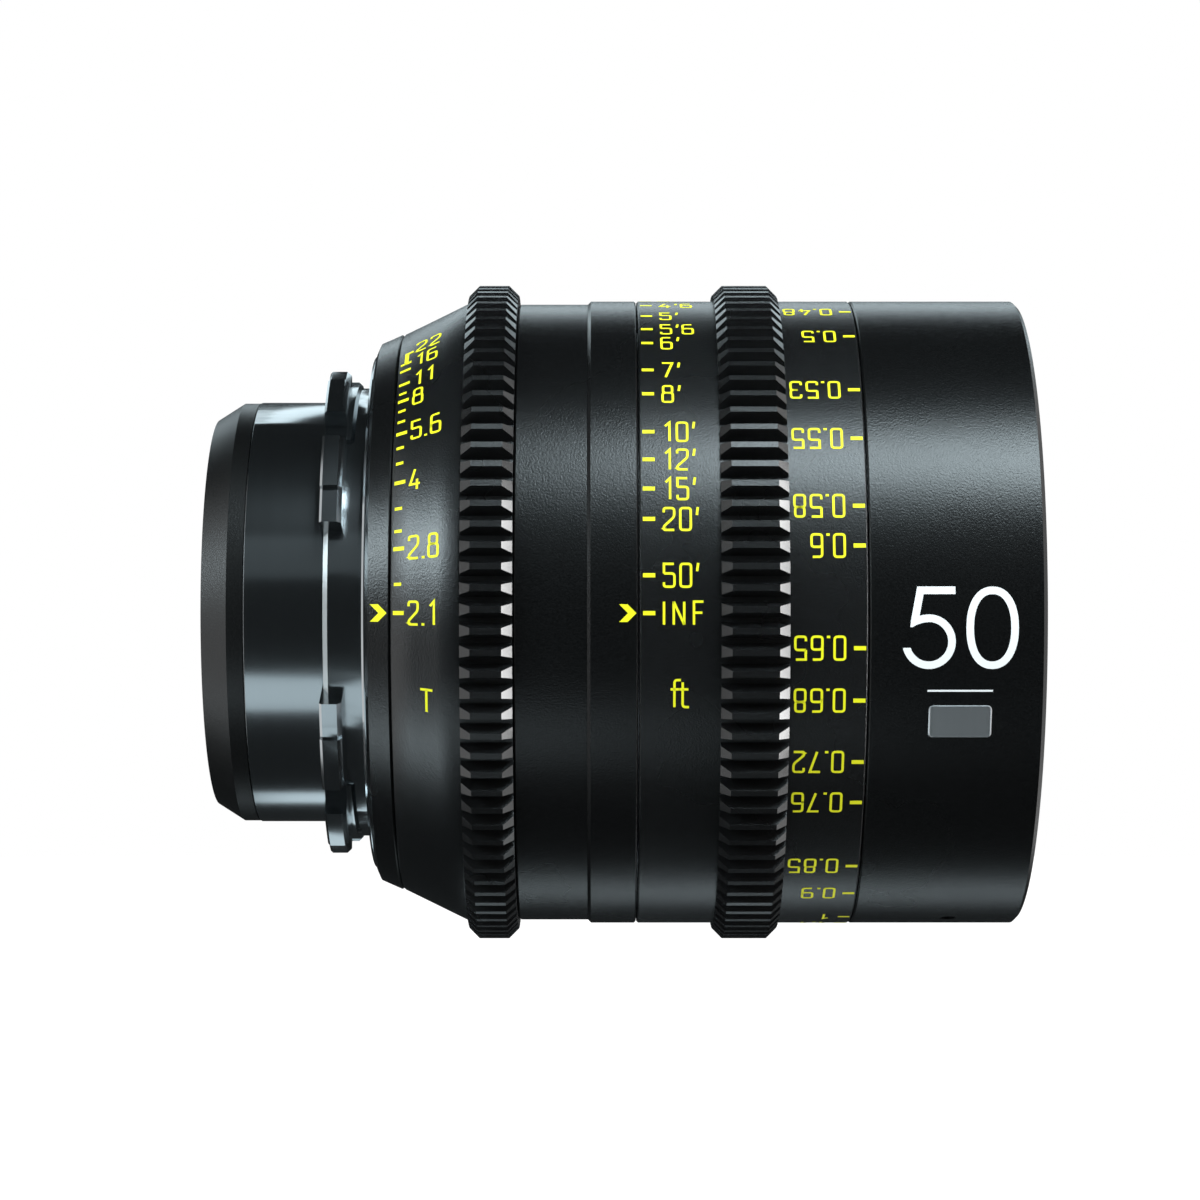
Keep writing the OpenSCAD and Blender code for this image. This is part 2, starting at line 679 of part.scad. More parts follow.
module cam_followers() {
    color("goldenrod") for (k = [0:follower_count - 1]) {
        x = follower_x + k * follower_step;
        angle = follower_angle + k * 360 / follower_count;
        radial_bar(follower_stem_r, carrier_bore_r + 2 * slide_gap, carrier_r + follower_stem_step,
                   x, angle);
        radial_bar(follower_r, carrier_r + slide_gap, follower_tip_r, x, angle);
    }
}

front_cell_x = carrier_front_x + 0.22 * f;

module front_cell() {
    l1_r = lens_1[0] + seat_gap;
    l2_r = lens_2[0] + seat_gap;
    open_r = lens_2[0] - seat_lip;
    rear_seat_x = rear_at(lens_2, open_r) - running_gap;
    front_seat_x = rear_edge(lens_1) - running_gap;
    flange_x = carrier_front_x + seat_gap;
    rear_end_x = carrier_front_x - 0.18 * f;
    outer_r = lip_d / 2 - cell_gap;
    color("dimgray") turned([[open_r, rear_end_x], [carrier_bore_r - seat_gap, rear_end_x],
        [carrier_bore_r - seat_gap, flange_x], [outer_r, flange_x],
        [outer_r, front_cell_x], [l1_r, front_cell_x], [l1_r, front_seat_x],
        [l2_r, front_seat_x], [l2_r, rear_seat_x], [open_r, rear_seat_x]]);
}

module front_bezel_ring() {
    bezel_r = lens_1[0] - seat_lip;
    rear_x0 = front_at(lens_1, bezel_r) + running_gap;
    flange_x = front_cell_x + seat_gap;
    face_x = flange_x + bezel_t;
    outer_r = lip_d / 2 - cell_gap - 2 * bezel_bevel;
    slope = 1;
    color("black") turned([[bezel_r, rear_x0], [lens_1[0], rear_x0], [lens_1[0], flange_x],
        [outer_r, flange_x], [outer_r, face_x - bezel_bevel], [outer_r - bezel_bevel, face_x],
        [bezel_r + slope, face_x], [bezel_r, face_x - slope]]);
}

module mid_cell() {
    bore_r = lens_3[0] + seat_gap;
    open_r = lens_4[0] - seat_lip;
    floor_t = 1.2;
    collar_l = 4;
    seat_x = rear_edge(lens_4) - running_gap;
    end_x = seat_x - floor_t;
    wall_r = bore_r + cell_wall;
    flange_r = chamber_outer_r - seat_gap;
    flange_x = web_front_x - web_step + seat_gap;
    front_end_x = web_front_x + web_step;
    collar_x = flange_x - collar_l;
    color("dimgray") turned([[open_r, end_x], [wall_r, end_x], [wall_r, collar_x],
        [chamber_fit_r, collar_x], [chamber_fit_r, flange_x], [flange_r, flange_x],
        [flange_r, front_end_x], [bore_r, front_end_x], [bore_r, seat_x], [open_r, seat_x]]);
}

module mid_retaining_ring() {
    ring_r = lens_3[0] - seat_lip;
    x0 = front_at(lens_3, ring_r) + running_gap;
    color("black") turned(band(ring_r, lens_3[0], x0, x0 + ring_t));
}

module rear_cell() {
    thread_r = lens_7[0] + cell_wall - seat_gap;
    bore_r = lens_5[0] + seat_gap;
    open_r = lens_6[0] - seat_lip;
    l7_r = lens_7[0] + seat_gap;
    l7_open_r = lens_7[0] - seat_lip;
    l7_lip_t = 1.6;
    outer_r = lens_7[0] + 2 * cell_wall;
    seat_x = rear_at(lens_6, open_r) - running_gap;
    l7_seat_x = front_at(lens_7, l7_open_r) + running_gap;
    lip_x = l7_seat_x + l7_lip_t;
    rear_end_x = rear_x - 0.53 * f;
    front_end_x = rear_x - slide_gap;
    color("dimgray") turned([[l7_r, rear_end_x], [outer_r, rear_end_x], [outer_r, rear_wall_x - seat_gap],
        [thread_r, rear_wall_x - seat_gap], [thread_r, front_end_x], [bore_r, front_end_x],
        [bore_r, seat_x], [open_r, seat_x], [open_r, lip_x], [l7_open_r, lip_x],
        [l7_open_r, l7_seat_x], [l7_r, l7_seat_x]]);
}

module rear_doublet_ring() {
    x0 = front_edge(lens_5) + running_gap;
    color("black") turned(band(lens_5[0] - seat_lip, lens_5[0], x0, x0 + ring_t));
}

module rear_retaining_ring() {
    ring_r = lens_7[0] - seat_lip;
    x1 = rear_at(lens_7, ring_r) - running_gap;
    color("black") turned(band(ring_r, lens_7[0], x1 - ring_t, x1));
}

// Blank of a lens in the plane of radius and station
module glass_blank(lens) {
    x0 = lens[4] > 0 ? lens[3] - cut_over : rear_edge(lens);
    x1 = lens[2] > 0 ? lens[1] + cut_over : front_edge(lens);
    translate([0, x0]) square([lens[0], x1 - x0]);
}

// Circle of a lens surface, centred on the axis
module surface_circle(x, r) {
    translate([0, x]) circle(r = r, $fn = 180);
}

module lens_element(lens) {
    color([0.6, 0.75, 0.85, 0.4]) along_axis() rotate_extrude() difference() {
        intersection() {
            glass_blank(lens);
            if (lens[2] > 0) surface_circle(lens[1] - lens[2], lens[2]);
            else glass_blank(lens);
            if (lens[4] > 0) surface_circle(lens[3] + lens[4], lens[4]);
            else glass_blank(lens);
        }
        if (lens[2] < 0) surface_circle(lens[1] - lens[2], -lens[2]);
        if (lens[4] < 0) surface_circle(lens[3] + lens[4], -lens[4]);
    }
}

// Iris

module iris_base_plate() {
    color("dimgray") difference() {
        turned(band(aperture_r + 2 * slide_gap, chamber_fit_r, plate_rear_x + seat_gap, plate_front_x));
        for (i = [0:blade_count - 1])
            axial_bar(blade_pin_r + running_gap, pivot_r, i * 360 / blade_count,
                      plate_rear_x - cut_over, plate_front_x + cut_over);
    }
}

module iris_retaining_ring() {
    color("black") turned(band(rotor_bore_r, chamber_fit_r, cover_x, cover_x + cover_t));
}

// Place of a drive pin, seen from the rotor, when the share t of the iris throw is done
function drive_pin_at(t) =
    let (swing = blade_swing * t,
         turn = -iris_throw * t,
         p = [pivot_r + drive_arm * sin(swing), -drive_arm * cos(swing)])
    [p[0] * cos(turn) - p[1] * sin(turn), p[0] * sin(turn) + p[1] * cos(turn)];

slot_overrun = 0.025;
slot_gap = 0.08;
slot_steps = 14;
slot_probe = 0.01;
function slot_share(i) = -slot_overrun + i * (1 + 2 * slot_overrun) / slot_steps;
function slot_side(side) =
    [for (i = [0:slot_steps])
        let (t = slot_share(i),
             along = drive_pin_at(t + slot_probe) - drive_pin_at(t - slot_probe),
             across = [-along[1], along[0]] / norm(along))
        drive_pin_at(t) + side * (blade_pin_r + slot_gap) * across];
function reversed(list) = [for (i = [len(list) - 1:-1:0]) list[i]];

module iris_rotor() {
    gap_half = key_r + running_gap;
    arm_sunk = 1;
    color("silver") difference() {
        union() {
            turned(band(rotor_bore_r, rotor_r, rotor_rear_x, rotor_front_x));
            along_axis() rotate([0, 0, key_angle])
                translate([rotor_r - arm_sunk, -gap_half - prong_w, rotor_rear_x])
                cube([fork_outer_r - rotor_r + arm_sunk, 2 * (gap_half + prong_w), rotor_t]);
            along_axis() rotate([0, 0, key_angle]) for (y = [-gap_half - prong_w, gap_half])
                translate([fork_inner_r, y, fork_rear_x])
                cube([fork_outer_r - fork_inner_r, prong_w, rotor_front_x - fork_rear_x]);
        }
        along_axis() for (i = [0:blade_count - 1]) rotate([0, 0, i * 360 / blade_count])
            translate([0, 0, rotor_rear_x - cut_over]) linear_extrude(height = rotor_t + 2 * cut_over)
            polygon(concat(slot_side(-1), reversed(slot_side(1))));
    }
}

// One blade: a crescent, its lug, a pivot pin towards the base plate and a drive pin towards the rotor
module iris_blade(i) {
    angle = (i - 1) * 360 / blade_count;
    x0 = stack_rear_x + (i - 1) * blade_step;
    lug_rim = 0.7;
    lug_r = blade_pin_r + lug_rim;
    stem_l = 3;
    stem_w = 2;
    pin_end_gap = 0.3;
    color("darkslategray") {
        turned_arc(band(aperture_r + slide_gap, blade_outer_r, x0, x0 + blade_t), angle, blade_arc);
        along_axis() rotate([0, 0, angle]) translate([0, 0, x0]) {
            translate([pivot_r - stem_l, 0, 0]) cube([stem_l, stem_w, blade_t]);
            translate([pivot_r, 0, 0]) cylinder(r = lug_r, h = blade_t);
            translate([pivot_r - lug_r, -drive_arm, 0]) cube([2 * lug_r, drive_arm, blade_t]);
            translate([pivot_r, -drive_arm, 0]) cylinder(r = lug_r, h = blade_t);
            translate([pivot_r, -drive_arm, 0])
                cylinder(r = blade_pin_r, h = rotor_front_x - step_gap - x0);
        }
        axial_bar(blade_pin_r, pivot_r, angle, plate_rear_x + pin_end_gap, x0 + blade_t);
    }
}

lens_mount();
mount_screws();
rear_baffle();
rear_barrel();
main_barrel();
focus_index_ring();
guide_sleeve();
focus_stop_pin();
front_barrel();
front_set_screws();
iris_ring();
iris_key();
focus_ring();
cam_sleeve();
optical_carrier();
cam_followers();
front_cell();
front_bezel_ring();
mid_cell();
mid_retaining_ring();
rear_cell();
rear_doublet_ring();
rear_retaining_ring();
lens_element(lens_1);  // lens_1_front_meniscus
lens_element(lens_2);  // lens_2_biconvex
lens_element(lens_3);  // lens_3_doublet_front
lens_element(lens_4);  // lens_4_doublet_rear
lens_element(lens_5);  // lens_5_doublet_front
lens_element(lens_6);  // lens_6_doublet_rear
lens_element(lens_7);  // lens_7_rear_biconvex
iris_base_plate();
iris_retaining_ring();
iris_rotor();
for (i = [1:blade_count]) iris_blade(i);
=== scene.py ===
import json
import math

import bmesh
import bpy
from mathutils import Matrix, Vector
from mathutils.bvhtree import BVHTree

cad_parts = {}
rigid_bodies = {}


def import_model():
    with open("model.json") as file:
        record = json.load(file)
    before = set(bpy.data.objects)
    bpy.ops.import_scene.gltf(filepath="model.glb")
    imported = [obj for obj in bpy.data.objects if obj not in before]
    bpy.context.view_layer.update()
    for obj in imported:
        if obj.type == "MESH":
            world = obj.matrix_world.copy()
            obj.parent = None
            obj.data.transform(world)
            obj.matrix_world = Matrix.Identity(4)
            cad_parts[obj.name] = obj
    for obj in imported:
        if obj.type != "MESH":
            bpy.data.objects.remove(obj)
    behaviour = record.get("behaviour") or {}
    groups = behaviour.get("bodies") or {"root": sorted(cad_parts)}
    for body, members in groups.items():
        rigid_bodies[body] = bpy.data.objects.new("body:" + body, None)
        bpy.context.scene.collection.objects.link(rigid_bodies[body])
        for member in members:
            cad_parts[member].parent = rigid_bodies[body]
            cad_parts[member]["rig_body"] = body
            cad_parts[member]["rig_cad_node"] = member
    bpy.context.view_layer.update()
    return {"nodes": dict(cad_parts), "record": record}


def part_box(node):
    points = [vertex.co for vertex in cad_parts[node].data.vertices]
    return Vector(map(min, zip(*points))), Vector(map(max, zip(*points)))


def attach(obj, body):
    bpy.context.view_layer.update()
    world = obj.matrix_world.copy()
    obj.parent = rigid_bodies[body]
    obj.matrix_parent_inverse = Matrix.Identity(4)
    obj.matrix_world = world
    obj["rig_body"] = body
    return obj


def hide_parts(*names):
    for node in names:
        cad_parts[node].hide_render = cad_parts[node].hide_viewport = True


# The lens lies along X with its flange plane at X = 0 and its index marks facing -Y.
# Angles on the barrel are degrees above the index line.
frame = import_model()
nodes = frame["nodes"]
bodies = frame["record"]["behaviour"]["bodies"]
body_of = {node: body for body, members in bodies.items() for node in members}

MM = 0.001

# Camera, fitted to the photograph
PHOTO_PX = 1200
FOCAL_PX = 3573
AXIS_ROW_PX = 612
MIDDLE_X = 34.0 * MM
CAMERA_DISTANCE = 462.0 * MM
SENSOR_MM = 36.0

# Lettering of the scales
DIGIT_W = 1.24 * MM
DIGIT_H = 2.72 * MM
DIGIT_STROKE = 0.29 * MM
DIGIT_CORNER = 0.36 * MM
DIGIT_GAP = 0.43 * MM
MARK_LIFT = 0.03 * MM
TICK_W = 0.50 * MM
TICK_L = 1.45 * MM

# Focus scale: the ring's turn in degrees for a distance in metres is this share of the distance
FOCUS_TURN = 97.3
FOCUS_PRINCIPAL = 0.091
FOOT = 0.3048

# Unit signs stand this many degrees below the index
UNIT_DEGREES = -13.8
UNIT_SIZE = 1.22
HALF_TURN = 180.0

# Colours, as linear values
YELLOW = (0.92, 0.90, 0.012)
WHITE = (0.92, 0.93, 0.93)
BODY_BLACK = (0.0028, 0.0029, 0.0030)
COOL = (0.79, 0.94, 1.0)

# How close two points of a mesh lie before they are one
WELD = 0.0005 * MM
CAD_WELD = 0.002 * MM

# Distance of the strip lamps from the lens axis
STRIP_DISTANCE = 0.42


# Modelling by hand

def leave_edit():
    if bpy.context.object and bpy.context.object.mode != "OBJECT":
        bpy.ops.object.mode_set(mode="OBJECT")


def pick(obj):
    """Selects one object alone and makes it active."""
    leave_edit()
    bpy.ops.object.select_all(action="DESELECT")
    obj.select_set(True)
    bpy.context.view_layer.objects.active = obj
    return obj


def open_edit(obj, select="SELECT"):
    pick(obj)
    bpy.ops.object.mode_set(mode="EDIT")
    bpy.ops.mesh.select_all(action=select)


def smooth(obj, angle=30.0):
    pick(obj)
    bpy.ops.object.shade_smooth_by_angle(angle=math.radians(angle))


def apply_modifier(obj, kind, **settings):
    pick(obj)
    modifier = obj.modifiers.new(kind.title(), kind)
    for key, value in settings.items():
        setattr(modifier, key, value)
    bpy.ops.object.modifier_apply(modifier=modifier.name)


def place(obj, name, material, body):
    """Names a finished piece, gives it its finish and lets it ride on a body."""
    pick(obj)
    bpy.ops.object.transform_apply(location=True, rotation=True, scale=True)
    obj.name = name
    obj.data.name = name
    if not obj.data.materials:
        obj.data.materials.append(material)
    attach(obj, body)
    return obj


def lathe(profile, segments=192, solid=False):
    """Ring about X, or a solid with filled ends, drawn out loop by loop.

    The profile's points are (station, radius).
    """
    leave_edit()
    bpy.ops.object.select_all(action="DESELECT")
    x, r = profile[0]
    bpy.ops.mesh.primitive_circle_add(vertices=segments, radius=r, location=(x, 0, 0),
                                      rotation=(0, math.radians(90), 0),
                                      fill_type="NGON" if solid else "NOTHING")
    obj = bpy.context.object
    bpy.ops.object.transform_apply(location=True, rotation=True, scale=True)
    open_edit(obj)
    stops = profile[1:] if solid else [*profile[1:], profile[0]]
    for next_x, next_r in stops:
        bpy.ops.mesh.extrude_region_move(TRANSFORM_OT_translate={"value": (next_x - x, 0, 0)})
        grow = next_r / r
        bpy.ops.transform.resize(value=(1, grow, grow), center_override=(next_x, 0, 0))
        x, r = next_x, next_r
    bpy.ops.mesh.select_all(action="SELECT")
    bpy.ops.mesh.remove_doubles(threshold=WELD)
    bpy.ops.mesh.normals_make_consistent(inside=False)
    leave_edit()
    smooth(obj)
    return obj


def dressed(node, name, bevel=0.0, corner=28.0):
    """Clean copy of a CAD node with its sharp edges broken, which stands for the node."""
    pick(nodes[node])
    bpy.ops.object.duplicate()
    obj = bpy.context.object
    obj.data = obj.data.copy()
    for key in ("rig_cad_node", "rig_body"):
        del obj[key]
    bpy.ops.mesh.customdata_custom_splitnormals_clear()
    obj.data.materials.clear()
    open_edit(obj)
    bpy.ops.mesh.remove_doubles(threshold=CAD_WELD)
    leave_edit()
    if bevel:
        open_edit(obj)
        bpy.ops.mesh.dissolve_limited(angle_limit=math.radians(0.01))
        leave_edit()
        apply_modifier(obj, "BEVEL", width=bevel, segments=2, limit_method="ANGLE",
                       angle_limit=math.radians(corner))
    smooth(obj, corner)
    obj.parent = None
    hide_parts(node)
    obj.name = name
    return obj


# Surfaces that marks lie on

surface_trees = {}


def surface_radius(node, x, angle):
    """Distance from the axis to a node's outer surface, at a station and an angle in radians."""
    if node not in surface_trees:
        mesh = nodes[node].data
        surface_trees[node] = BVHTree.FromPolygons([v.co for v in mesh.vertices],
                                                   [p.vertices for p in mesh.polygons])
    outwards = Vector((0, -math.cos(angle), math.sin(angle)))
    far = 0.1
    hit = surface_trees[node].ray_cast(Vector((x, 0, 0)) + outwards * far, -outwards)[0]
    return (hit - Vector((x, 0, 0))).length


def wrap(obj, node):
    """Lays a flat drawing on a node. Its x is the station, its y the arc and its z the height."""
    middle = sum((v.co.x for v in obj.data.vertices)) / len(obj.data.vertices)
    arc_r = surface_radius(node, middle, 0.0)
    for vertex in obj.data.vertices:
        x, arc, height = vertex.co
        angle = arc / arc_r
        r = surface_radius(node, x, angle) + height
        vertex.co = (x, -r * math.cos(angle), r * math.sin(angle))
    return obj


def arc_at(node, x, degrees):
    return math.radians(degrees) * surface_radius(node, x, 0.0)


# Strokes of the lettering, each as (corners, closed, rounding)

def digit_strokes(char):
    w, h, r = DIGIT_W, DIGIT_H, DIGIT_CORNER
    mid = 0.52 * h
    tail = 0.2 * h
    bowl = [(0, 0), (w, 0), (w, 0.56 * h), (0, 0.56 * h)]
    drawn = {
        "0": [([(0, 0), (w, 0), (w, h), (0, h)], True, r)],
        "1": [([(0.2 * w, h - tail), (0.62 * w, h), (0.62 * w, 0)], False, 0)],
        "2": [([(0, h - tail), (0, h), (w, h), (w, 0.6 * h), (0, 0.16 * h), (0, 0), (w, 0)], False, r)],
        "3": [([(0, h - tail), (0, h), (w, h), (w, mid), (0.3 * w, mid)], False, r),
              ([(0.3 * w, mid), (w, mid), (w, 0), (0, 0), (0, tail)], False, r)],
        "4": [([(0.52 * w, h), (0, 0.27 * h), (1.08 * w, 0.27 * h)], False, 0),
              ([(0.76 * w, 0.5 * h), (0.76 * w, 0)], False, 0)],
        "5": [([(0.94 * w, h), (0, h), (0, 0.58 * h)], False, 0),
              ([(0, 0.58 * h), (w, 0.58 * h), (w, 0), (0, 0), (0, tail)], False, r)],
        "6": [(bowl, True, r), ([(0, 0.3 * h), (0, h), (0.9 * w, h)], False, r)],
        "7": [([(0, h), (w, h), (0.34 * w, 0)], False, 0)],
        "8": [(bowl, True, r),
              ([(0.06 * w, 0.56 * h), (0.94 * w, 0.56 * h), (0.94 * w, h), (0.06 * w, h)], True, r)],
        "9": [([(w - x, h - y) for x, y in bowl], True, r), ([(w, 0.7 * h), (w, 0), (0.1 * w, 0)], False, r)],
        ".": [([(-0.16 * w, 0.01 * h), (0.16 * w, 0.01 * h)], False, 0)],
        "'": [([(0.1 * w, 1.04 * h), (0, 0.68 * h)], False, 0)],
        "I": [([(0, 0), (0, h)], False, 0)],
        "N": [([(0, 0), (0, h)], False, 0), ([(0, h), (w, 0)], False, 0), ([(w, 0), (w, h)], False, 0)],
        "F": [([(0, 0), (0, h), (0.9 * w, h)], False, 0), ([(0, mid), (0.8 * w, mid)], False, 0)],
        "T": [([(0, h), (w, h)], False, 0), ([(0.5 * w, h), (0.5 * w, 0)], False, 0)],
        "m": [([(0, 0), (0, 0.66 * h), (0.7 * w, 0.66 * h), (0.7 * w, 0)], False, r),
              ([(0.7 * w, 0.3 * h), (0.7 * w, 0.66 * h), (1.4 * w, 0.66 * h), (1.4 * w, 0)], False, r)],
        "f": [([(0.8 * w, h), (0.3 * w, h), (0.3 * w, 0)], False, r),
              ([(0, 0.66 * h), (0.72 * w, 0.66 * h)], False, 0)],
        "t": [([(0.3 * w, 0.92 * h), (0.3 * w, 0), (0.8 * w, 0)], False, r),
              ([(0, 0.66 * h), (0.75 * w, 0.66 * h)], False, 0)],
    }
    return drawn[char]


def digit_width(char):
    narrow = {"1": 0.75, ".": 0.0, "'": 0.0, "I": 0.0, "t": 0.8, "f": 0.75}
    return narrow.get(char, 1.0) * DIGIT_W


def rounded(corners, closed, radius, steps=4):
    """Points along a line whose corners are rounded."""
    points = []
    count = len(corners)
    for i, corner in enumerate(corners):
        if radius == 0 or (not closed and i in (0, count - 1)):
            points.append(corner)
            continue
        here, before, after = Vector(corner), Vector(corners[i - 1]), Vector(corners[(i + 1) % count])
        cut = min(radius, 0.5 * (here - before).length, 0.5 * (here - after).length)
        start = here + (before - here).normalized() * cut
        end = here + (after - here).normalized() * cut
        for k in range(steps + 1):
            t = k / steps
            points.append(tuple(start * (1 - t) ** 2 + here * 2 * t * (1 - t) + end * t * t))
    return points


def label_strokes(text, size=1.0, squeeze=1.0, gap=DIGIT_GAP):
    """Strokes of a word that starts at x = 0 and is centred on y = 0."""
    strokes = []
    pen = 0.0
    for char in text:
        for corners, closed, radius in digit_strokes(char):
            line = rounded(corners, closed, radius)
            points = [((pen + x) * size * squeeze, (y - 0.5 * DIGIT_H) * size) for x, y in line]
            strokes.append((points, closed))
        pen += digit_width(char) + DIGIT_STROKE + gap
    return strokes


def stroke_edges(points, closed, width):
    """Left and right edge of a stroke, mitred at its corners."""
    count = len(points)
    left, right = [], []
    for i, point in enumerate(points):
        here = Vector(point)
        before = Vector(points[i - 1]) if closed or i > 0 else None
        after = Vector(points[(i + 1) % count]) if closed or i < count - 1 else None
        ways = [(here - before).normalized()] if before else []
        ways += [(after - here).normalized()] if after else []
        sides = [Vector((-way.y, way.x)) for way in ways]
        miter = sum(sides, Vector((0, 0))).normalized()
        reach = width / 2 / max(miter.dot(sides[0]), 0.4)
        left.append(here + miter * reach)
        right.append(here - miter * reach)
    return left, right


class Drawing:
    """Flat drawing of many strokes that becomes one thin raised mesh."""

    def __init__(self, stroke):
        self.stroke = stroke
        self.corners = []
        self.faces = []

    def line(self, points, closed=False, width=None):
        left, right = stroke_edges(points, closed, width or self.stroke)
        first = len(self.corners)
        count = len(points)
        for a, b in zip(left, right):
            self.corners += [(a.x, a.y, 0), (b.x, b.y, 0)]
        for i in range(count if closed else count - 1):
            here, then = first + 2 * i, first + 2 * ((i + 1) % count)
            self.faces.append((here, here + 1, then + 1, then))

    def label(self, text, x, y, size=1.0, squeeze=1.0, gap=DIGIT_GAP, turned=False):
        """Word that starts at x, or is turned upside down and ends there."""
        side = -1 if turned else 1
        for points, closed in label_strokes(text, size, squeeze, gap):
            self.line([(x + side * px, y + side * py) for px, py in points], closed)

    def mesh(self, longest=1.2 * MM):
        mesh = bpy.data.meshes.new("drawing")
        mesh.from_pydata(self.corners, [], self.faces)
        obj = bpy.data.objects.new("drawing", mesh)
        bpy.context.scene.collection.objects.link(obj)
        apply_modifier(obj, "SOLIDIFY", thickness=2 * MARK_LIFT, offset=0.0)
        open_edit(obj)
        for _ in range(3):
            bpy.ops.mesh.select_all(action="DESELECT")
            cut_long_edges(obj, longest)
        bpy.ops.mesh.select_all(action="SELECT")
        bpy.ops.mesh.normals_make_consistent(inside=False)
        leave_edit()
        return obj


def cut_long_edges(obj, longest):
    """Halves the edges of the mesh in edit mode that are too long to follow a barrel."""
    mesh = bmesh.from_edit_mesh(obj.data)
    for edge in mesh.edges:
        edge.select_set(edge.calc_length() > longest)
    bmesh.update_edit_mesh(obj.data)
    bpy.ops.mesh.subdivide(number_cuts=1)


# Shared effects

def effect_group(name, inputs, outputs):
    tree = bpy.data.node_groups.new(name, "ShaderNodeTree")
    for label, value in inputs.items():
        socket = tree.interface.new_socket(label, in_out="INPUT", socket_type="NodeSocketFloat")
        socket.default_value = value
    for label in outputs:
        tree.interface.new_socket(label, in_out="OUTPUT", socket_type="NodeSocketFloat")
    return tree, tree.nodes.new("NodeGroupInput"), tree.nodes.new("NodeGroupOutput")


def add_node(tree, kind, **settings):
    node = tree.nodes.new(kind)
    for key, value in settings.items():
        setattr(node, key, value)
    return node


def math_node(tree, operation, a, b=None):
    node = add_node(tree, "ShaderNodeMath", operation=operation)
    for socket, value in zip(node.inputs, (a, b)):
        if isinstance(value, (int, float)):
            socket.default_value = value
        elif value is not None:
            tree.links.new(value, socket)
    return node.outputs[0]


def build_blasted_grain():
    """Fine bead-blasted grain under an anodised skin, with a slow drift of tone."""
    tree, inlet, outlet = effect_group("blasted_grain", {"Grains per metre": 4200.0, "Drift": 40.0},
                                       ["Height", "Speck", "Drift"])
    place_at = add_node(tree, "ShaderNodeTexCoord").outputs["Object"]
    grain = add_node(tree, "ShaderNodeTexNoise")
    grain.inputs["Detail"].default_value = 2.0
    grain.inputs["Roughness"].default_value = 0.65
    drift = add_node(tree, "ShaderNodeTexNoise")
    drift.inputs["Detail"].default_value = 3.0
    for noise, label in ((grain, "Grains per metre"), (drift, "Drift")):
        tree.links.new(place_at, noise.inputs["Vector"])
        tree.links.new(inlet.outputs[label], noise.inputs["Scale"])
    speck = add_node(tree, "ShaderNodeMapRange")
    speck.inputs["From Min"].default_value = 0.35
    speck.inputs["From Max"].default_value = 0.7
    tree.links.new(grain.outputs["Fac"], speck.inputs["Value"])
    tree.links.new(grain.outputs["Fac"], outlet.inputs["Height"])
    tree.links.new(speck.outputs["Result"], outlet.inputs["Speck"])
    tree.links.new(drift.outputs["Fac"], outlet.inputs["Drift"])
    return tree


def build_turned_lines():
    """Fine tool lines that run round the axis, on barrels and on faces alike."""
    tree, inlet, outlet = effect_group("turned_lines", {"Lines per metre": 9000.0}, ["Height", "Tone"])
    place_at = add_node(tree, "ShaderNodeTexCoord").outputs["Object"]
    split = add_node(tree, "ShaderNodeSeparateXYZ")
    tree.links.new(place_at, split.inputs["Vector"])
    square_y = math_node(tree, "MULTIPLY", split.outputs["Y"], split.outputs["Y"])
    square_z = math_node(tree, "MULTIPLY", split.outputs["Z"], split.outputs["Z"])
    radius = math_node(tree, "SQRT", math_node(tree, "ADD", square_y, square_z))
    along = math_node(tree, "ADD", split.outputs["X"], radius)
    fine = add_node(tree, "ShaderNodeTexNoise", noise_dimensions="1D")
    fine.inputs["Detail"].default_value = 2.0
    tree.links.new(along, fine.inputs["W"])
    tree.links.new(inlet.outputs["Lines per metre"], fine.inputs["Scale"])
    tone = add_node(tree, "ShaderNodeTexNoise", noise_dimensions="1D")
    tree.links.new(along, tone.inputs["W"])
    tree.links.new(math_node(tree, "MULTIPLY", inlet.outputs["Lines per metre"], 0.08), tone.inputs["Scale"])
    tree.links.new(fine.outputs["Fac"], outlet.inputs["Height"])
    tree.links.new(tone.outputs["Fac"], outlet.inputs["Tone"])
    return tree


blasted_grain = build_blasted_grain()
turned_lines = build_turned_lines()


# Finishes

def new_finish(name, colour, roughness, metallic=0.0, specular=0.5):
    material = bpy.data.materials.new(name)
    material.use_nodes = True
    shader = material.node_tree.nodes["Principled BSDF"]
    shader.inputs["Base Color"].default_value = (*colour, 1.0)
    shader.inputs["Roughness"].default_value = roughness
    shader.inputs["Metallic"].default_value = metallic
    shader.inputs["Specular IOR Level"].default_value = specular
    return material, shader


def place_effect(material, group, **values):
    node = add_node(material.node_tree, "ShaderNodeGroup", node_tree=group)
    for key, value in values.items():
        node.inputs[key.replace("_", " ")].default_value = value
    return node


def vary_roughness(material, shader, mask, low, high):
    tree = material.node_tree
    spread = add_node(tree, "ShaderNodeMapRange")
    spread.inputs["To Min"].default_value = low
    spread.inputs["To Max"].default_value = high
    tree.links.new(mask, spread.inputs["Value"])
    tree.links.new(spread.outputs["Result"], shader.inputs["Roughness"])


def vary_colour(material, shader, mask, dark, light):
    tree = material.node_tree
    ramp = add_node(tree, "ShaderNodeValToRGB")
    ramp.color_ramp.elements[0].color = (*dark, 1.0)
    ramp.color_ramp.elements[1].color = (*light, 1.0)
    tree.links.new(mask, ramp.inputs["Fac"])
    tree.links.new(ramp.outputs["Color"], shader.inputs["Base Color"])


def emboss(material, shader, height, strength, depth):
    tree = material.node_tree
    bump = add_node(tree, "ShaderNodeBump")
    bump.inputs["Strength"].default_value = strength
    bump.inputs["Distance"].default_value = depth
    tree.links.new(height, bump.inputs["Height"])
    tree.links.new(bump.outputs["Normal"], shader.inputs["Normal"])


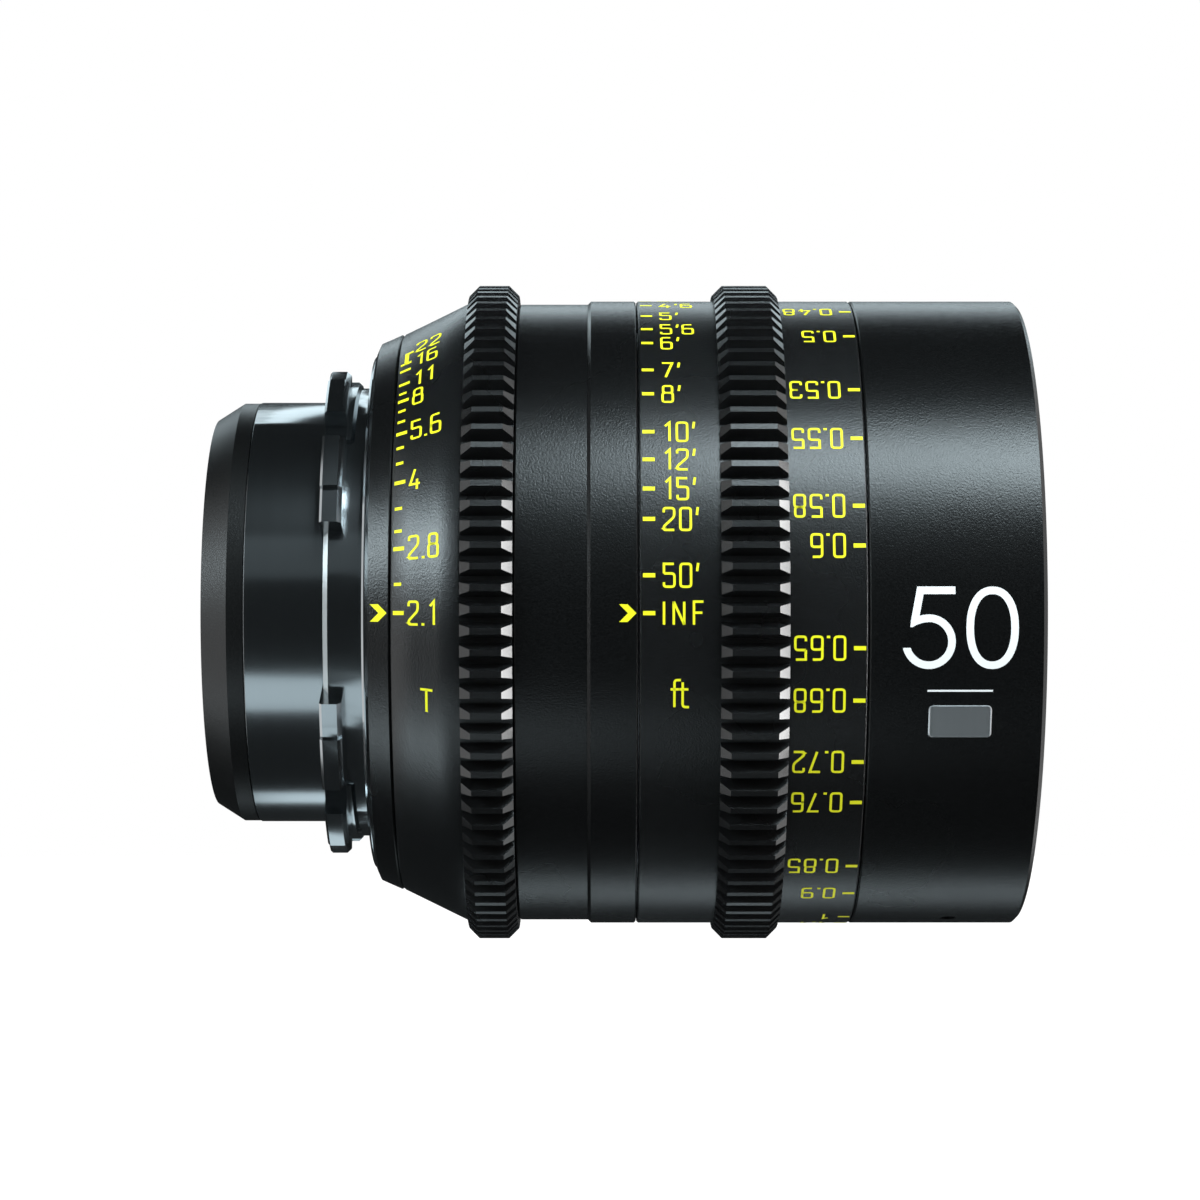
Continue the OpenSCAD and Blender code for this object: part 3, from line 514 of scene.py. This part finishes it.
def blasted_black(name, colour, roughness, relief, grains=4200.0):
    """Bead-blasted black anodised aluminium."""
    material, shader = new_finish(name, colour, roughness)
    effect = place_effect(material, blasted_grain, Grains_per_metre=grains)
    dark, light = [0.7 * c for c in colour], [1.9 * c for c in colour]
    vary_colour(material, shader, effect.outputs["Speck"], dark, light)
    vary_roughness(material, shader, effect.outputs["Drift"], roughness - 0.05, roughness + 0.05)
    emboss(material, shader, effect.outputs["Height"], relief, 0.05 * MM)
    return material


def turned_metal(name, colour, roughness, relief, metallic=1.0, lines=9000.0):
    """Metal straight from the lathe."""
    material, shader = new_finish(name, colour, roughness, metallic)
    effect = place_effect(material, turned_lines, Lines_per_metre=lines)
    less, more = 1 - 2 * relief, 1 + 2 * relief
    tone = effect.outputs["Tone"]
    vary_colour(material, shader, tone, [less * c for c in colour], colour)
    vary_roughness(material, shader, tone, less * roughness, more * roughness)
    emboss(material, shader, effect.outputs["Height"], relief, 0.01 * MM)
    return material


def paint(name, colour):
    """Enamel in an engraved mark."""
    material, shader = new_finish(name, colour, 0.5, specular=0.3)
    effect = place_effect(material, blasted_grain, Grains_per_metre=2500.0, Drift=300.0)
    vary_colour(material, shader, effect.outputs["Drift"], [0.94 * c for c in colour], colour)
    emboss(material, shader, effect.outputs["Height"], 0.05, 0.02 * MM)
    return material


def coated_glass(name, reflex):
    """Optical glass whose anti-reflection film leaves a faint coloured reflex."""
    material, shader = new_finish(name, (0.97, 0.985, 0.98), 0.0)
    shader.inputs["Transmission Weight"].default_value = 1.0
    shader.inputs["IOR"].default_value = 1.55
    shader.inputs["Specular Tint"].default_value = (*reflex, 1.0)
    return material


finish = {
    "barrel_black": blasted_black("barrel_black", BODY_BLACK, 0.27, 0.6),
    "bevel_black": turned_metal("bevel_black", (0.006, 0.006, 0.006), 0.2, 0.02, metallic=0.0),
    "baffle_black": blasted_black("baffle_black", (0.0025, 0.0025, 0.0025), 0.36, 0.4),
    "mount_metal": turned_metal("mount_metal", (0.40, 0.425, 0.44), 0.17, 0.01),
    # Lighter half-metallic finish for the mount's shoulder: a painted highlight line, not a real change of
    # metal
    "painted_highlight_edge": turned_metal("painted_highlight_edge", (0.75, 0.75, 0.74), 0.35, 0.02, metallic=0.5),
    "screw_steel": turned_metal("screw_steel", (0.22, 0.22, 0.23), 0.3, 0.05),
    "inner_aluminium": turned_metal("inner_aluminium", (0.62, 0.63, 0.65), 0.32, 0.08),
    "cell_black": turned_metal("cell_black", (0.010, 0.010, 0.011), 0.45, 0.25, metallic=0.0, lines=2600.0),
    "ring_black": turned_metal("ring_black", (0.006, 0.006, 0.006), 0.5, 0.1, metallic=0.0, lines=4000.0),
    "brass": turned_metal("brass", (0.75, 0.55, 0.22), 0.28, 0.08),
    "blade_steel": turned_metal("blade_steel", (0.035, 0.036, 0.038), 0.38, 0.03, metallic=0.8),
    "yellow_paint": paint("yellow_paint", YELLOW),
    "white_paint": paint("white_paint", WHITE),
    "badge_metal": turned_metal("badge_metal", (0.60, 0.61, 0.62), 0.42, 0.05, lines=5000.0),
    "front_glass": coated_glass("front_glass", (0.22, 0.17, 0.42)),
    "inner_glass": coated_glass("inner_glass", (0.12, 0.22, 0.22)),
}
NODE_FINISH = {
    "mount_screws": "screw_steel", "rear_baffle": "baffle_black", "rear_barrel": "barrel_black",
    "main_barrel": "barrel_black", "focus_index_ring": "barrel_black", "guide_sleeve": "inner_aluminium",
    "focus_stop_pin": "screw_steel", "front_barrel": "barrel_black", "front_set_screws": "screw_steel",
    "iris_key": "screw_steel", "cam_sleeve": "inner_aluminium", "optical_carrier": "cell_black",
    "cam_followers": "brass", "front_cell": "cell_black", "front_bezel_ring": "ring_black",
    "mid_cell": "cell_black", "mid_retaining_ring": "ring_black", "rear_cell": "cell_black",
    "rear_doublet_ring": "ring_black", "rear_retaining_ring": "ring_black",
    "iris_base_plate": "cell_black", "iris_retaining_ring": "ring_black", "iris_rotor": "inner_aluminium",
    "lens_mount": "mount_metal", "iris_ring": "barrel_black", "focus_ring": "barrel_black",
    "lens_1_front_meniscus": "front_glass",
}


def finish_of(node):
    if node.startswith("iris_blade"):
        return finish["blade_steel"]
    if node.startswith("lens_") and node not in NODE_FINISH:
        return finish["inner_glass"]
    return finish[NODE_FINISH[node]]


for node, obj in nodes.items():
    obj.data.materials.clear()
    obj.data.materials.append(finish_of(node))


# Geared rings: the ends of the teeth are cut smooth after blasting

def tooth_foot(node):
    """Radius above which a slanted face of a geared ring is the end of a tooth."""
    if node == "focus_ring":
        return surface_radius(node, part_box(node)[0].x + 1.0 * MM, 0.0) + 0.05 * MM
    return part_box(node)[1].y - 1.95 * MM


def geared_ring(node):
    foot = tooth_foot(node)
    obj = dressed(node, node + "_body")
    obj.data.materials.append(finish["barrel_black"])
    obj.data.materials.append(finish["bevel_black"])
    for face in obj.data.polygons:
        out = math.hypot(face.center.y, face.center.z)
        slanted = 0.55 < abs(face.normal.x) < 0.85
        face.material_index = 1 if slanted and out > foot else 0
    return place(obj, node + "_body", None, body_of[node])


geared_rings = [geared_ring("iris_ring"), geared_ring("focus_ring")]


def mount_with_painted_highlight_shoulder():
    """Mount whose shoulder behind the ears gets a lighter, half-metallic finish, a painted highlight line."""
    obj = dressed("lens_mount", "lens_mount_body", bevel=0.06 * MM)
    obj.data.materials.append(finish["mount_metal"])
    obj.data.materials.append(finish["painted_highlight_edge"])
    for face in obj.data.polygons:
        out = math.hypot(face.center.y, face.center.z)
        on_shoulder = 0.1 * MM < face.center.x < 1.0 * MM and 27.05 * MM < out < 28.84 * MM
        # The shoulder faces that look towards the rear get the lighter finish that paints the highlight line
        face.material_index = 1 if on_shoulder and face.normal.x < -0.5 else 0
    return place(obj, "lens_mount_body", None, "barrel")


mount_with_painted_highlight_shoulder()


# Scales and index marks

# Each stop has its number, the angle of its tick and the angle of its number
STOPS = [("2.1", 0.0, 0.0), ("2.8", 12.4, 12.4), ("4", 26.0, 26.0), ("5.6", 37.4, 37.4), ("8", 46.3, 46.3),
         ("11", 51.6, 51.9), ("16", 56.5, 58.9), ("22", 59.2, 64.8)]
THIRD_STOPS = [5.5, 15.9, 20.5, 30.3, 33.9, 40.5, 43.4, 48.6]
FEET = [("50'", 50.0), ("20'", 20.0), ("15'", 15.0), ("12'", 12.0), ("10'", 10.0), ("8'", 8.0), ("7'", 7.0),
        ("6'", 6.0), ("5'6", 5.5), ("5'", 5.0), ("4'6", 4.5), ("4'", 4.0), ("3'6", 3.5), ("3'", 3.0),
        ("2'9", 2.75), ("2'6", 2.5), ("2'3", 2.25), ("2'", 2.0), ("1'9", 1.75), ("1'6", 1.5)]
METRES = [("15", 15.0), ("6", 6.0), ("4", 4.0), ("3", 3.0), ("2.5", 2.5), ("2", 2.0), ("1.7", 1.7),
          ("1.5", 1.5), ("1.3", 1.3), ("1.2", 1.2), ("1.1", 1.1), ("1", 1.006), ("0.9", 0.9035),
          ("0.85", 0.8435), ("0.76", 0.7606), ("0.72", 0.7244), ("0.68", 0.6808), ("0.65", 0.65),
          ("0.6", 0.599), ("0.58", 0.581), ("0.55", 0.551), ("0.53", 0.5284), ("0.5", 0.499),
          ("0.48", 0.4793)]


def focus_turn(metres):
    """Turn of the focus ring from infinity, in degrees."""
    return FOCUS_TURN / (metres - FOCUS_PRINCIPAL)


def letter_gap(text):
    return DIGIT_GAP * (2.0 if text == "INF" else 1.0)


def iris_scale():
    node = "iris_ring"
    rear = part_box(node)[0].x
    tick_x = rear + 0.32 * MM
    label_x = rear + 2.25 * MM
    slant = 0.89
    drawing = Drawing(DIGIT_STROKE)
    for text, tick, degrees in STOPS:
        y = arc_at(node, label_x, tick)
        drawing.line([(tick_x, y), (tick_x + 0.92 * TICK_L, y)], width=TICK_W)
        drawing.label(text, label_x, arc_at(node, label_x, degrees), squeeze=slant)
    last_tick = STOPS[-1][1]
    low, high = arc_at(node, label_x, last_tick), arc_at(node, label_x, last_tick + 4.4)
    elbow_x = tick_x + 0.7 * MM
    drawing.line([(elbow_x, low - TICK_W / 2), (elbow_x, high + TICK_W / 2)], width=TICK_W)
    drawing.line([(elbow_x, high), (label_x - 0.45 * MM, high)], width=TICK_W)
    for degrees in THIRD_STOPS:
        y = arc_at(node, label_x, degrees)
        drawing.line([(tick_x + 0.1 * MM, y), (tick_x + 0.7 * TICK_L, y)], width=0.8 * TICK_W)
    drawing.label("T", rear + 3.6 * MM, arc_at(node, label_x, -16.3), squeeze=1.35 * slant)
    return place(wrap(drawing.mesh(), node), "iris_scale", finish["yellow_paint"], "iris_ring")


def feet_scale():
    node = "focus_ring"
    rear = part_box(node)[0].x
    tick_x = rear + 0.42 * MM
    label_x = rear + 2.9 * MM
    drawing = Drawing(DIGIT_STROKE)
    marks = [("INF", 0.0)] + [(text, focus_turn(feet * FOOT)) for text, feet in FEET]
    for text, degrees in marks:
        y = arc_at(node, label_x, degrees)
        drawing.line([(tick_x, y), (tick_x + TICK_L, y)], width=TICK_W)
        drawing.label(text, label_x, y, gap=letter_gap(text))
    unit_y = arc_at(node, label_x, UNIT_DEGREES)
    drawing.label("ft", rear + 3.7 * MM, unit_y, size=UNIT_SIZE, gap=-0.42 * MM)
    return place(wrap(drawing.mesh(), node), "feet_scale", finish["yellow_paint"], "focus_ring")


def metre_scale():
    """Distances in metres, read upside down from the far side, half a turn from the feet."""
    node = "focus_ring"
    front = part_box(node)[1].x
    tick_x = front - 0.3 * MM
    label_x = front - 2.8 * MM
    drawing = Drawing(DIGIT_STROKE)
    marks = [("INF", 0.0)] + [(text, focus_turn(metres)) for text, metres in METRES]
    for text, degrees in marks:
        y = arc_at(node, label_x, degrees - HALF_TURN)
        drawing.line([(tick_x, y), (tick_x - TICK_L, y)], width=TICK_W)
        drawing.label(text, label_x, y, gap=letter_gap(text), turned=True)
    unit_y = arc_at(node, label_x, UNIT_DEGREES - HALF_TURN)
    drawing.label("m", front - 3.6 * MM, unit_y, size=UNIT_SIZE, turned=True)
    return place(wrap(drawing.mesh(), node), "metre_scale", finish["yellow_paint"], "focus_ring")


def index_chevron(node, name, x, degrees=0.0, turned=False):
    """Bold arrowhead drawn from two leaning bars."""
    long, tall, bar = 2.05 * MM, 2.1 * MM, 1.0 * MM
    side = -1 if turned else 1
    leave_edit()
    bpy.ops.object.select_all(action="DESELECT")
    bpy.ops.mesh.primitive_plane_add(size=1.0)
    obj = bpy.context.object
    corners = [(0, tall / 2), (bar, tall / 2), (long - bar, 0), (long, 0)]
    for vertex, (px, py) in zip(obj.data.vertices, [corners[2], corners[3], corners[0], corners[1]]):
        vertex.co = (px, py, 0)
    open_edit(obj)
    bpy.ops.mesh.subdivide(number_cuts=3)
    leave_edit()
    apply_modifier(obj, "MIRROR", use_axis=(False, True, False), merge_threshold=0.001 * MM)
    apply_modifier(obj, "SOLIDIFY", thickness=2 * MARK_LIFT, offset=0.0)
    middle = arc_at(node, x, degrees)
    for vertex in obj.data.vertices:
        vertex.co = (x + side * vertex.co.x, middle + side * vertex.co.y, vertex.co.z)
    return place(wrap(obj, node), name, finish["yellow_paint"], "barrel")


def focal_length_number():
    """The big 50 in thin round strokes, drawn in millimetres from the barrel's rear edge."""
    node = "front_barrel"
    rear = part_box(node)[0].x
    drawing = Drawing(0.9 * MM)
    top, tall, wide = 2.70, 8.885, 5.3
    zero_x = 14.5
    bulge = 0.9
    oval = []
    for k in range(48):
        a = math.tau * k / 48
        c, s = math.cos(a), math.sin(a)
        oval.append((zero_x + wide / 2 * math.copysign(abs(c) ** bulge, c),
                     top - tall / 2 + tall / 2 * math.copysign(abs(s) ** bulge, s)))
    bar_and_stem = [(10.11, top), (5.97, top), (5.28, -1.03)]
    bowl = [(4.835, -1.19), (4.93, -1.203), (5.34, -0.97), (5.83, -0.79), (6.33, -0.66)]
    bowl_x, bowl_y, bowl_wide, bowl_tall = 6.99, -3.39, 2.72, 2.795
    for k in range(37):
        a = math.radians(90.0 - 252.0 * k / 36)
        bowl.append((bowl_x + bowl_wide * math.cos(a), bowl_y + bowl_tall * math.sin(a)))
    bowl.append((bowl[-1][0], bowl[-1][1] + 0.14))
    for points, closed in ((oval, True), (bar_and_stem, False), (bowl, False)):
        drawing.line([(rear + x * MM, y * MM) for x, y in points], closed)
    line_y = -9.28 * MM
    drawing.line([(rear + 6.9 * MM, line_y), (rear + 14.65 * MM, line_y)], width=0.22 * MM)
    return place(wrap(drawing.mesh(), node), "focal_length_number", finish["white_paint"], "barrel")


def badge_plate():
    """Small bare plate let into the front barrel."""
    node = "front_barrel"
    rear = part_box(node)[0].x
    long, tall = 7.5 * MM, 4.1 * MM
    arc_below = math.radians(-18.8) * 40.0 * MM
    leave_edit()
    bpy.ops.object.select_all(action="DESELECT")
    bpy.ops.mesh.primitive_plane_add(size=1.0)
    obj = bpy.context.object
    obj.scale = (long, tall, 1.0)
    bpy.ops.object.transform_apply(location=True, rotation=True, scale=True)
    open_edit(obj)
    bpy.ops.mesh.bevel(offset=0.55 * MM, segments=5, affect="VERTICES")
    bpy.ops.mesh.inset(thickness=0.12 * MM)
    bpy.ops.transform.translate(value=(0, 0, 0.07 * MM))
    bpy.ops.mesh.inset(thickness=0.06 * MM)
    bpy.ops.transform.translate(value=(0, 0, -0.03 * MM))
    bpy.ops.mesh.select_all(action="SELECT")
    bpy.ops.mesh.quads_convert_to_tris()
    for _ in range(3):
        bpy.ops.mesh.select_all(action="DESELECT")
        cut_long_edges(obj, 0.9 * MM)
        bpy.ops.mesh.select_all(action="SELECT")
        bpy.ops.mesh.quads_convert_to_tris()
    leave_edit()
    apply_modifier(obj, "SOLIDIFY", thickness=0.06 * MM, offset=-1.0)
    for vertex in obj.data.vertices:
        vertex.co.x += rear + 10.85 * MM
        vertex.co.y += arc_below
        vertex.co.z += 0.02 * MM
    return place(wrap(obj, node), "badge_plate", finish["badge_metal"], "barrel")


iris_scale()
feet_scale()
metre_scale()
index_chevron("rear_barrel", "iris_index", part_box("rear_barrel")[0].x + 0.72 * MM)
index_chevron("focus_index_ring", "feet_index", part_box("focus_index_ring")[1].x - 2.28 * MM)
index_chevron("front_barrel", "metre_index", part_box("focus_ring")[1].x + 2.45 * MM,
              degrees=HALF_TURN, turned=True)
focal_length_number()
badge_plate()


# Glass, ground to its curves in millimetres: front then rear, hollow where the curve is negative

LENS_CURVES = {
    "lens_1_front_meniscus": (70.0, -38.0),
    "lens_2_biconvex": (45.0, 90.0),
    "lens_3_doublet_front": (30.0, 60.0),
    "lens_4_doublet_rear": (-60.0, -40.0),
    "lens_5_doublet_front": (-30.0, -35.0),
    "lens_6_doublet_rear": (35.0, 28.0),
    "lens_7_rear_biconvex": (40.0, 60.0),
}
RIM_LAND = 0.5 * MM
LENS_POLE = 0.02 * MM
CURVE_STEPS = 20


def sag(curve, out):
    return abs(curve) - math.sqrt(curve * curve - out * out)


def surface_line(outermost_x, curve, rim, inwards):
    """One lens surface from the axis to the rim. A hollow one ends in a flat land."""
    edge = rim if curve > 0 else rim - RIM_LAND
    line = []
    for k in range(CURVE_STEPS + 1):
        out = LENS_POLE + (edge - LENS_POLE) * k / CURVE_STEPS
        depth = sag(curve, out) if curve > 0 else sag(curve, edge) - sag(curve, out)
        line.append((outermost_x + inwards * depth, out))
    if curve < 0:
        line.append((outermost_x, rim))
    return line


def ground_lens(node):
    low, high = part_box(node)
    front, rear = (curve * MM for curve in LENS_CURVES[node])
    rim = max(high.y, high.z)
    profile = surface_line(high.x, front, rim, -1) + surface_line(low.x, rear, rim, 1)[::-1]
    obj = lathe(profile, segments=128, solid=True)
    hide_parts(node)
    return place(obj, node + "_ground", finish_of(node), "optical_block")


for node in LENS_CURVES:
    ground_lens(node)


# Filter thread

def filter_thread():
    """Ring of fine ridges on the inside of the nose, from a backing just inside the wall."""
    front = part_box("front_barrel")[1].x
    x0, x1 = front - 4.6 * MM, front - 0.5 * MM
    wall, crest, pitch = 38.19 * MM, 37.85 * MM, 0.75 * MM
    root = wall - 0.02 * MM
    count = round((x1 - x0) / pitch)
    step = (x1 - x0) / count
    profile = [(x0, wall)]
    for k in range(count):
        profile.append((x0 + (k + 0.12) * step, root))
        profile.append((x0 + (k + 0.5) * step, crest))
        profile.append((x0 + (k + 0.88) * step, root))
    profile.append((x1, wall))
    return place(lathe(profile), "filter_thread", finish["barrel_black"], "barrel")


filter_thread()


# Studio

def only_in_reflections(obj):
    for ray in ("camera", "diffuse", "transmission", "volume_scatter", "shadow"):
        setattr(obj, "visible_" + ray, False)


def studio_point(direction, distance, x):
    """Place at an angle above the camera's side of the lens axis, in degrees."""
    a = math.radians(direction)
    return Vector((MIDDLE_X + x, -distance * math.cos(a), distance * math.sin(a)))


def softbox(name, centre, wide, tall, radiance, colour, aim_x=MIDDLE_X):
    """Lamp that faces the lens axis at a station. One aimed at its own station lies along the axis."""
    light = bpy.data.lights.new(name, "AREA")
    light.shape = "RECTANGLE"
    light.size = wide
    light.size_y = tall
    light.energy = radiance * math.pi * wide * tall
    light.color = colour
    lamp = bpy.data.objects.new(name, light)
    bpy.context.scene.collection.objects.link(lamp)
    lamp.location = centre
    towards = Vector((aim_x, 0, 0)) - Vector(centre)
    lamp.rotation_euler = towards.to_track_quat("-Z", "Y").to_euler()
    lamp.visible_camera = False
    return lamp


def shine_only_on(lamp, objects):
    """Keeps a strong lamp from washing out the rest of the lens."""
    lit = bpy.data.collections.new(lamp.name + "_lit")
    for obj in objects:
        lit.objects.link(obj)
    lamp.light_linking.receiver_collection = lit


def strip(name, direction, x, wide, tall, radiance):
    """Softbox that lies along the lens axis, so that its reflection follows the barrel."""
    centre = studio_point(direction, STRIP_DISTANCE, x)
    return softbox(name, centre, wide, tall, radiance, COOL, aim_x=MIDDLE_X + x)


def soft_strip(name, direction, x, wide, tall, radiance):
    """Strip that fades towards its long edges, from three lamps behind each other."""
    for step, share in enumerate((0.3, 0.6, 1.0)):
        strip(f"{name}_{step + 1}", direction, x, wide, share * tall, radiance / 3)


def seen_directly(tree):
    """One where the camera, a reflection or a view through glass looks, and zero for soft light."""
    path = add_node(tree, "ShaderNodeLightPath")
    total = math_node(tree, "ADD", path.outputs["Is Camera Ray"], path.outputs["Is Glossy Ray"])
    total = math_node(tree, "ADD", total, path.outputs["Is Transmission Ray"])
    return math_node(tree, "MINIMUM", total, 1.0)


def white_world(soft_level):
    world = bpy.data.worlds.new("studio")
    bpy.context.scene.world = world
    world.use_nodes = True
    tree = world.node_tree
    tree.nodes.clear()
    soft = add_node(tree, "ShaderNodeBackground")
    soft.inputs["Color"].default_value = (1, 1, 1, 1)
    soft.inputs["Strength"].default_value = soft_level
    white = add_node(tree, "ShaderNodeBackground")
    white.inputs["Color"].default_value = (1, 1, 1, 1)
    white.inputs["Strength"].default_value = 1.0
    mix = add_node(tree, "ShaderNodeMixShader")
    out = add_node(tree, "ShaderNodeOutputWorld")
    tree.links.new(seen_directly(tree), mix.inputs["Fac"])
    tree.links.new(soft.outputs[0], mix.inputs[1])
    tree.links.new(white.outputs[0], mix.inputs[2])
    tree.links.new(mix.outputs[0], out.inputs["Surface"])


def pale_floor(height):
    bpy.ops.mesh.primitive_circle_add(vertices=64, radius=8.0, fill_type="NGON", location=(0, 0, height))
    floor = bpy.context.object
    floor.name = "floor"
    material = bpy.data.materials.new("pale_floor")
    material.use_nodes = True
    tree = material.node_tree
    shader = tree.nodes["Principled BSDF"]
    shader.inputs["Base Color"].default_value = (0.5, 0.5, 0.5, 1)
    shader.inputs["Roughness"].default_value = 0.9
    shader.inputs["Specular IOR Level"].default_value = 0.0
    shader.inputs["Emission Color"].default_value = (1, 1, 1, 1)
    glow = math_node(tree, "MULTIPLY", seen_directly(tree), 0.78)
    tree.links.new(glow, shader.inputs["Emission Strength"])
    floor.data.materials.append(material)


def dark_tent(radius, rear, front):
    """Dark cloth round the lens for its reflections, open at both ends."""
    leave_edit()
    bpy.ops.object.select_all(action="DESELECT")
    bpy.ops.mesh.primitive_cylinder_add(vertices=180, radius=radius, depth=front - rear,
                                        end_fill_type="NOTHING",
                                        location=(MIDDLE_X + (rear + front) / 2, 0, 0),
                                        rotation=(0, math.radians(90), 0))
    tent = bpy.context.object
    bpy.ops.object.transform_apply(location=True, rotation=True, scale=True)
    tent.name = "dark_tent"
    material = bpy.data.materials.new("dark_cloth")
    material.use_nodes = True
    shader = material.node_tree.nodes["Principled BSDF"]
    shader.inputs["Base Color"].default_value = (0.01, 0.01, 0.01, 1)
    shader.inputs["Specular IOR Level"].default_value = 0.0
    shader.inputs["Emission Color"].default_value = (*COOL, 1)
    shader.inputs["Emission Strength"].default_value = 0.012
    tent.data.materials.append(material)
    only_in_reflections(tent)


def photo_camera():
    data = bpy.data.cameras.new("camera")
    data.sensor_width = SENSOR_MM
    data.lens = SENSOR_MM * FOCAL_PX / PHOTO_PX
    camera = bpy.data.objects.new("camera", data)
    bpy.context.scene.collection.objects.link(camera)
    height = (AXIS_ROW_PX - PHOTO_PX / 2) / FOCAL_PX * CAMERA_DISTANCE
    camera.location = (MIDDLE_X, -CAMERA_DISTANCE, height)
    camera.rotation_euler = (math.radians(90), 0, 0)
    data.clip_start = 0.01
    bpy.context.scene.camera = camera


photo_camera()
white_world(soft_level=0.7)
pale_floor(height=-0.6)
dark_tent(radius=0.5, rear=-0.72, front=0.45)
strip("key", direction=54, x=0.19, wide=0.35, tall=0.15, radiance=13.5)
soft_strip("low_strip", direction=-43, x=-0.24, wide=0.50, tall=0.15, radiance=3.0)
soft_strip("front_fill", direction=29, x=-0.22, wide=0.50, tall=0.17, radiance=0.3)
strip("rim", direction=147, x=0.0, wide=0.7, tall=0.13, radiance=1.75)
strip("low_rim", direction=-119, x=0.155, wide=0.48, tall=0.09, radiance=1.5)
softbox("left_key", (MIDDLE_X - 0.381, -0.248, 0.169), wide=0.16, tall=0.14, radiance=15.0, colour=COOL)
softbox("left_low", (MIDDLE_X - 0.353, -0.148, -0.294), wide=0.14, tall=0.12, radiance=4.0, colour=COOL)
tooth_light = softbox("tooth_light", (MIDDLE_X + 0.48, 0.05, 0.0), wide=0.6, tall=0.4, radiance=20.0,
                      colour=(1, 1, 1))
shine_only_on(tooth_light, geared_rings)

bpy.context.scene.view_settings.view_transform = "Standard"
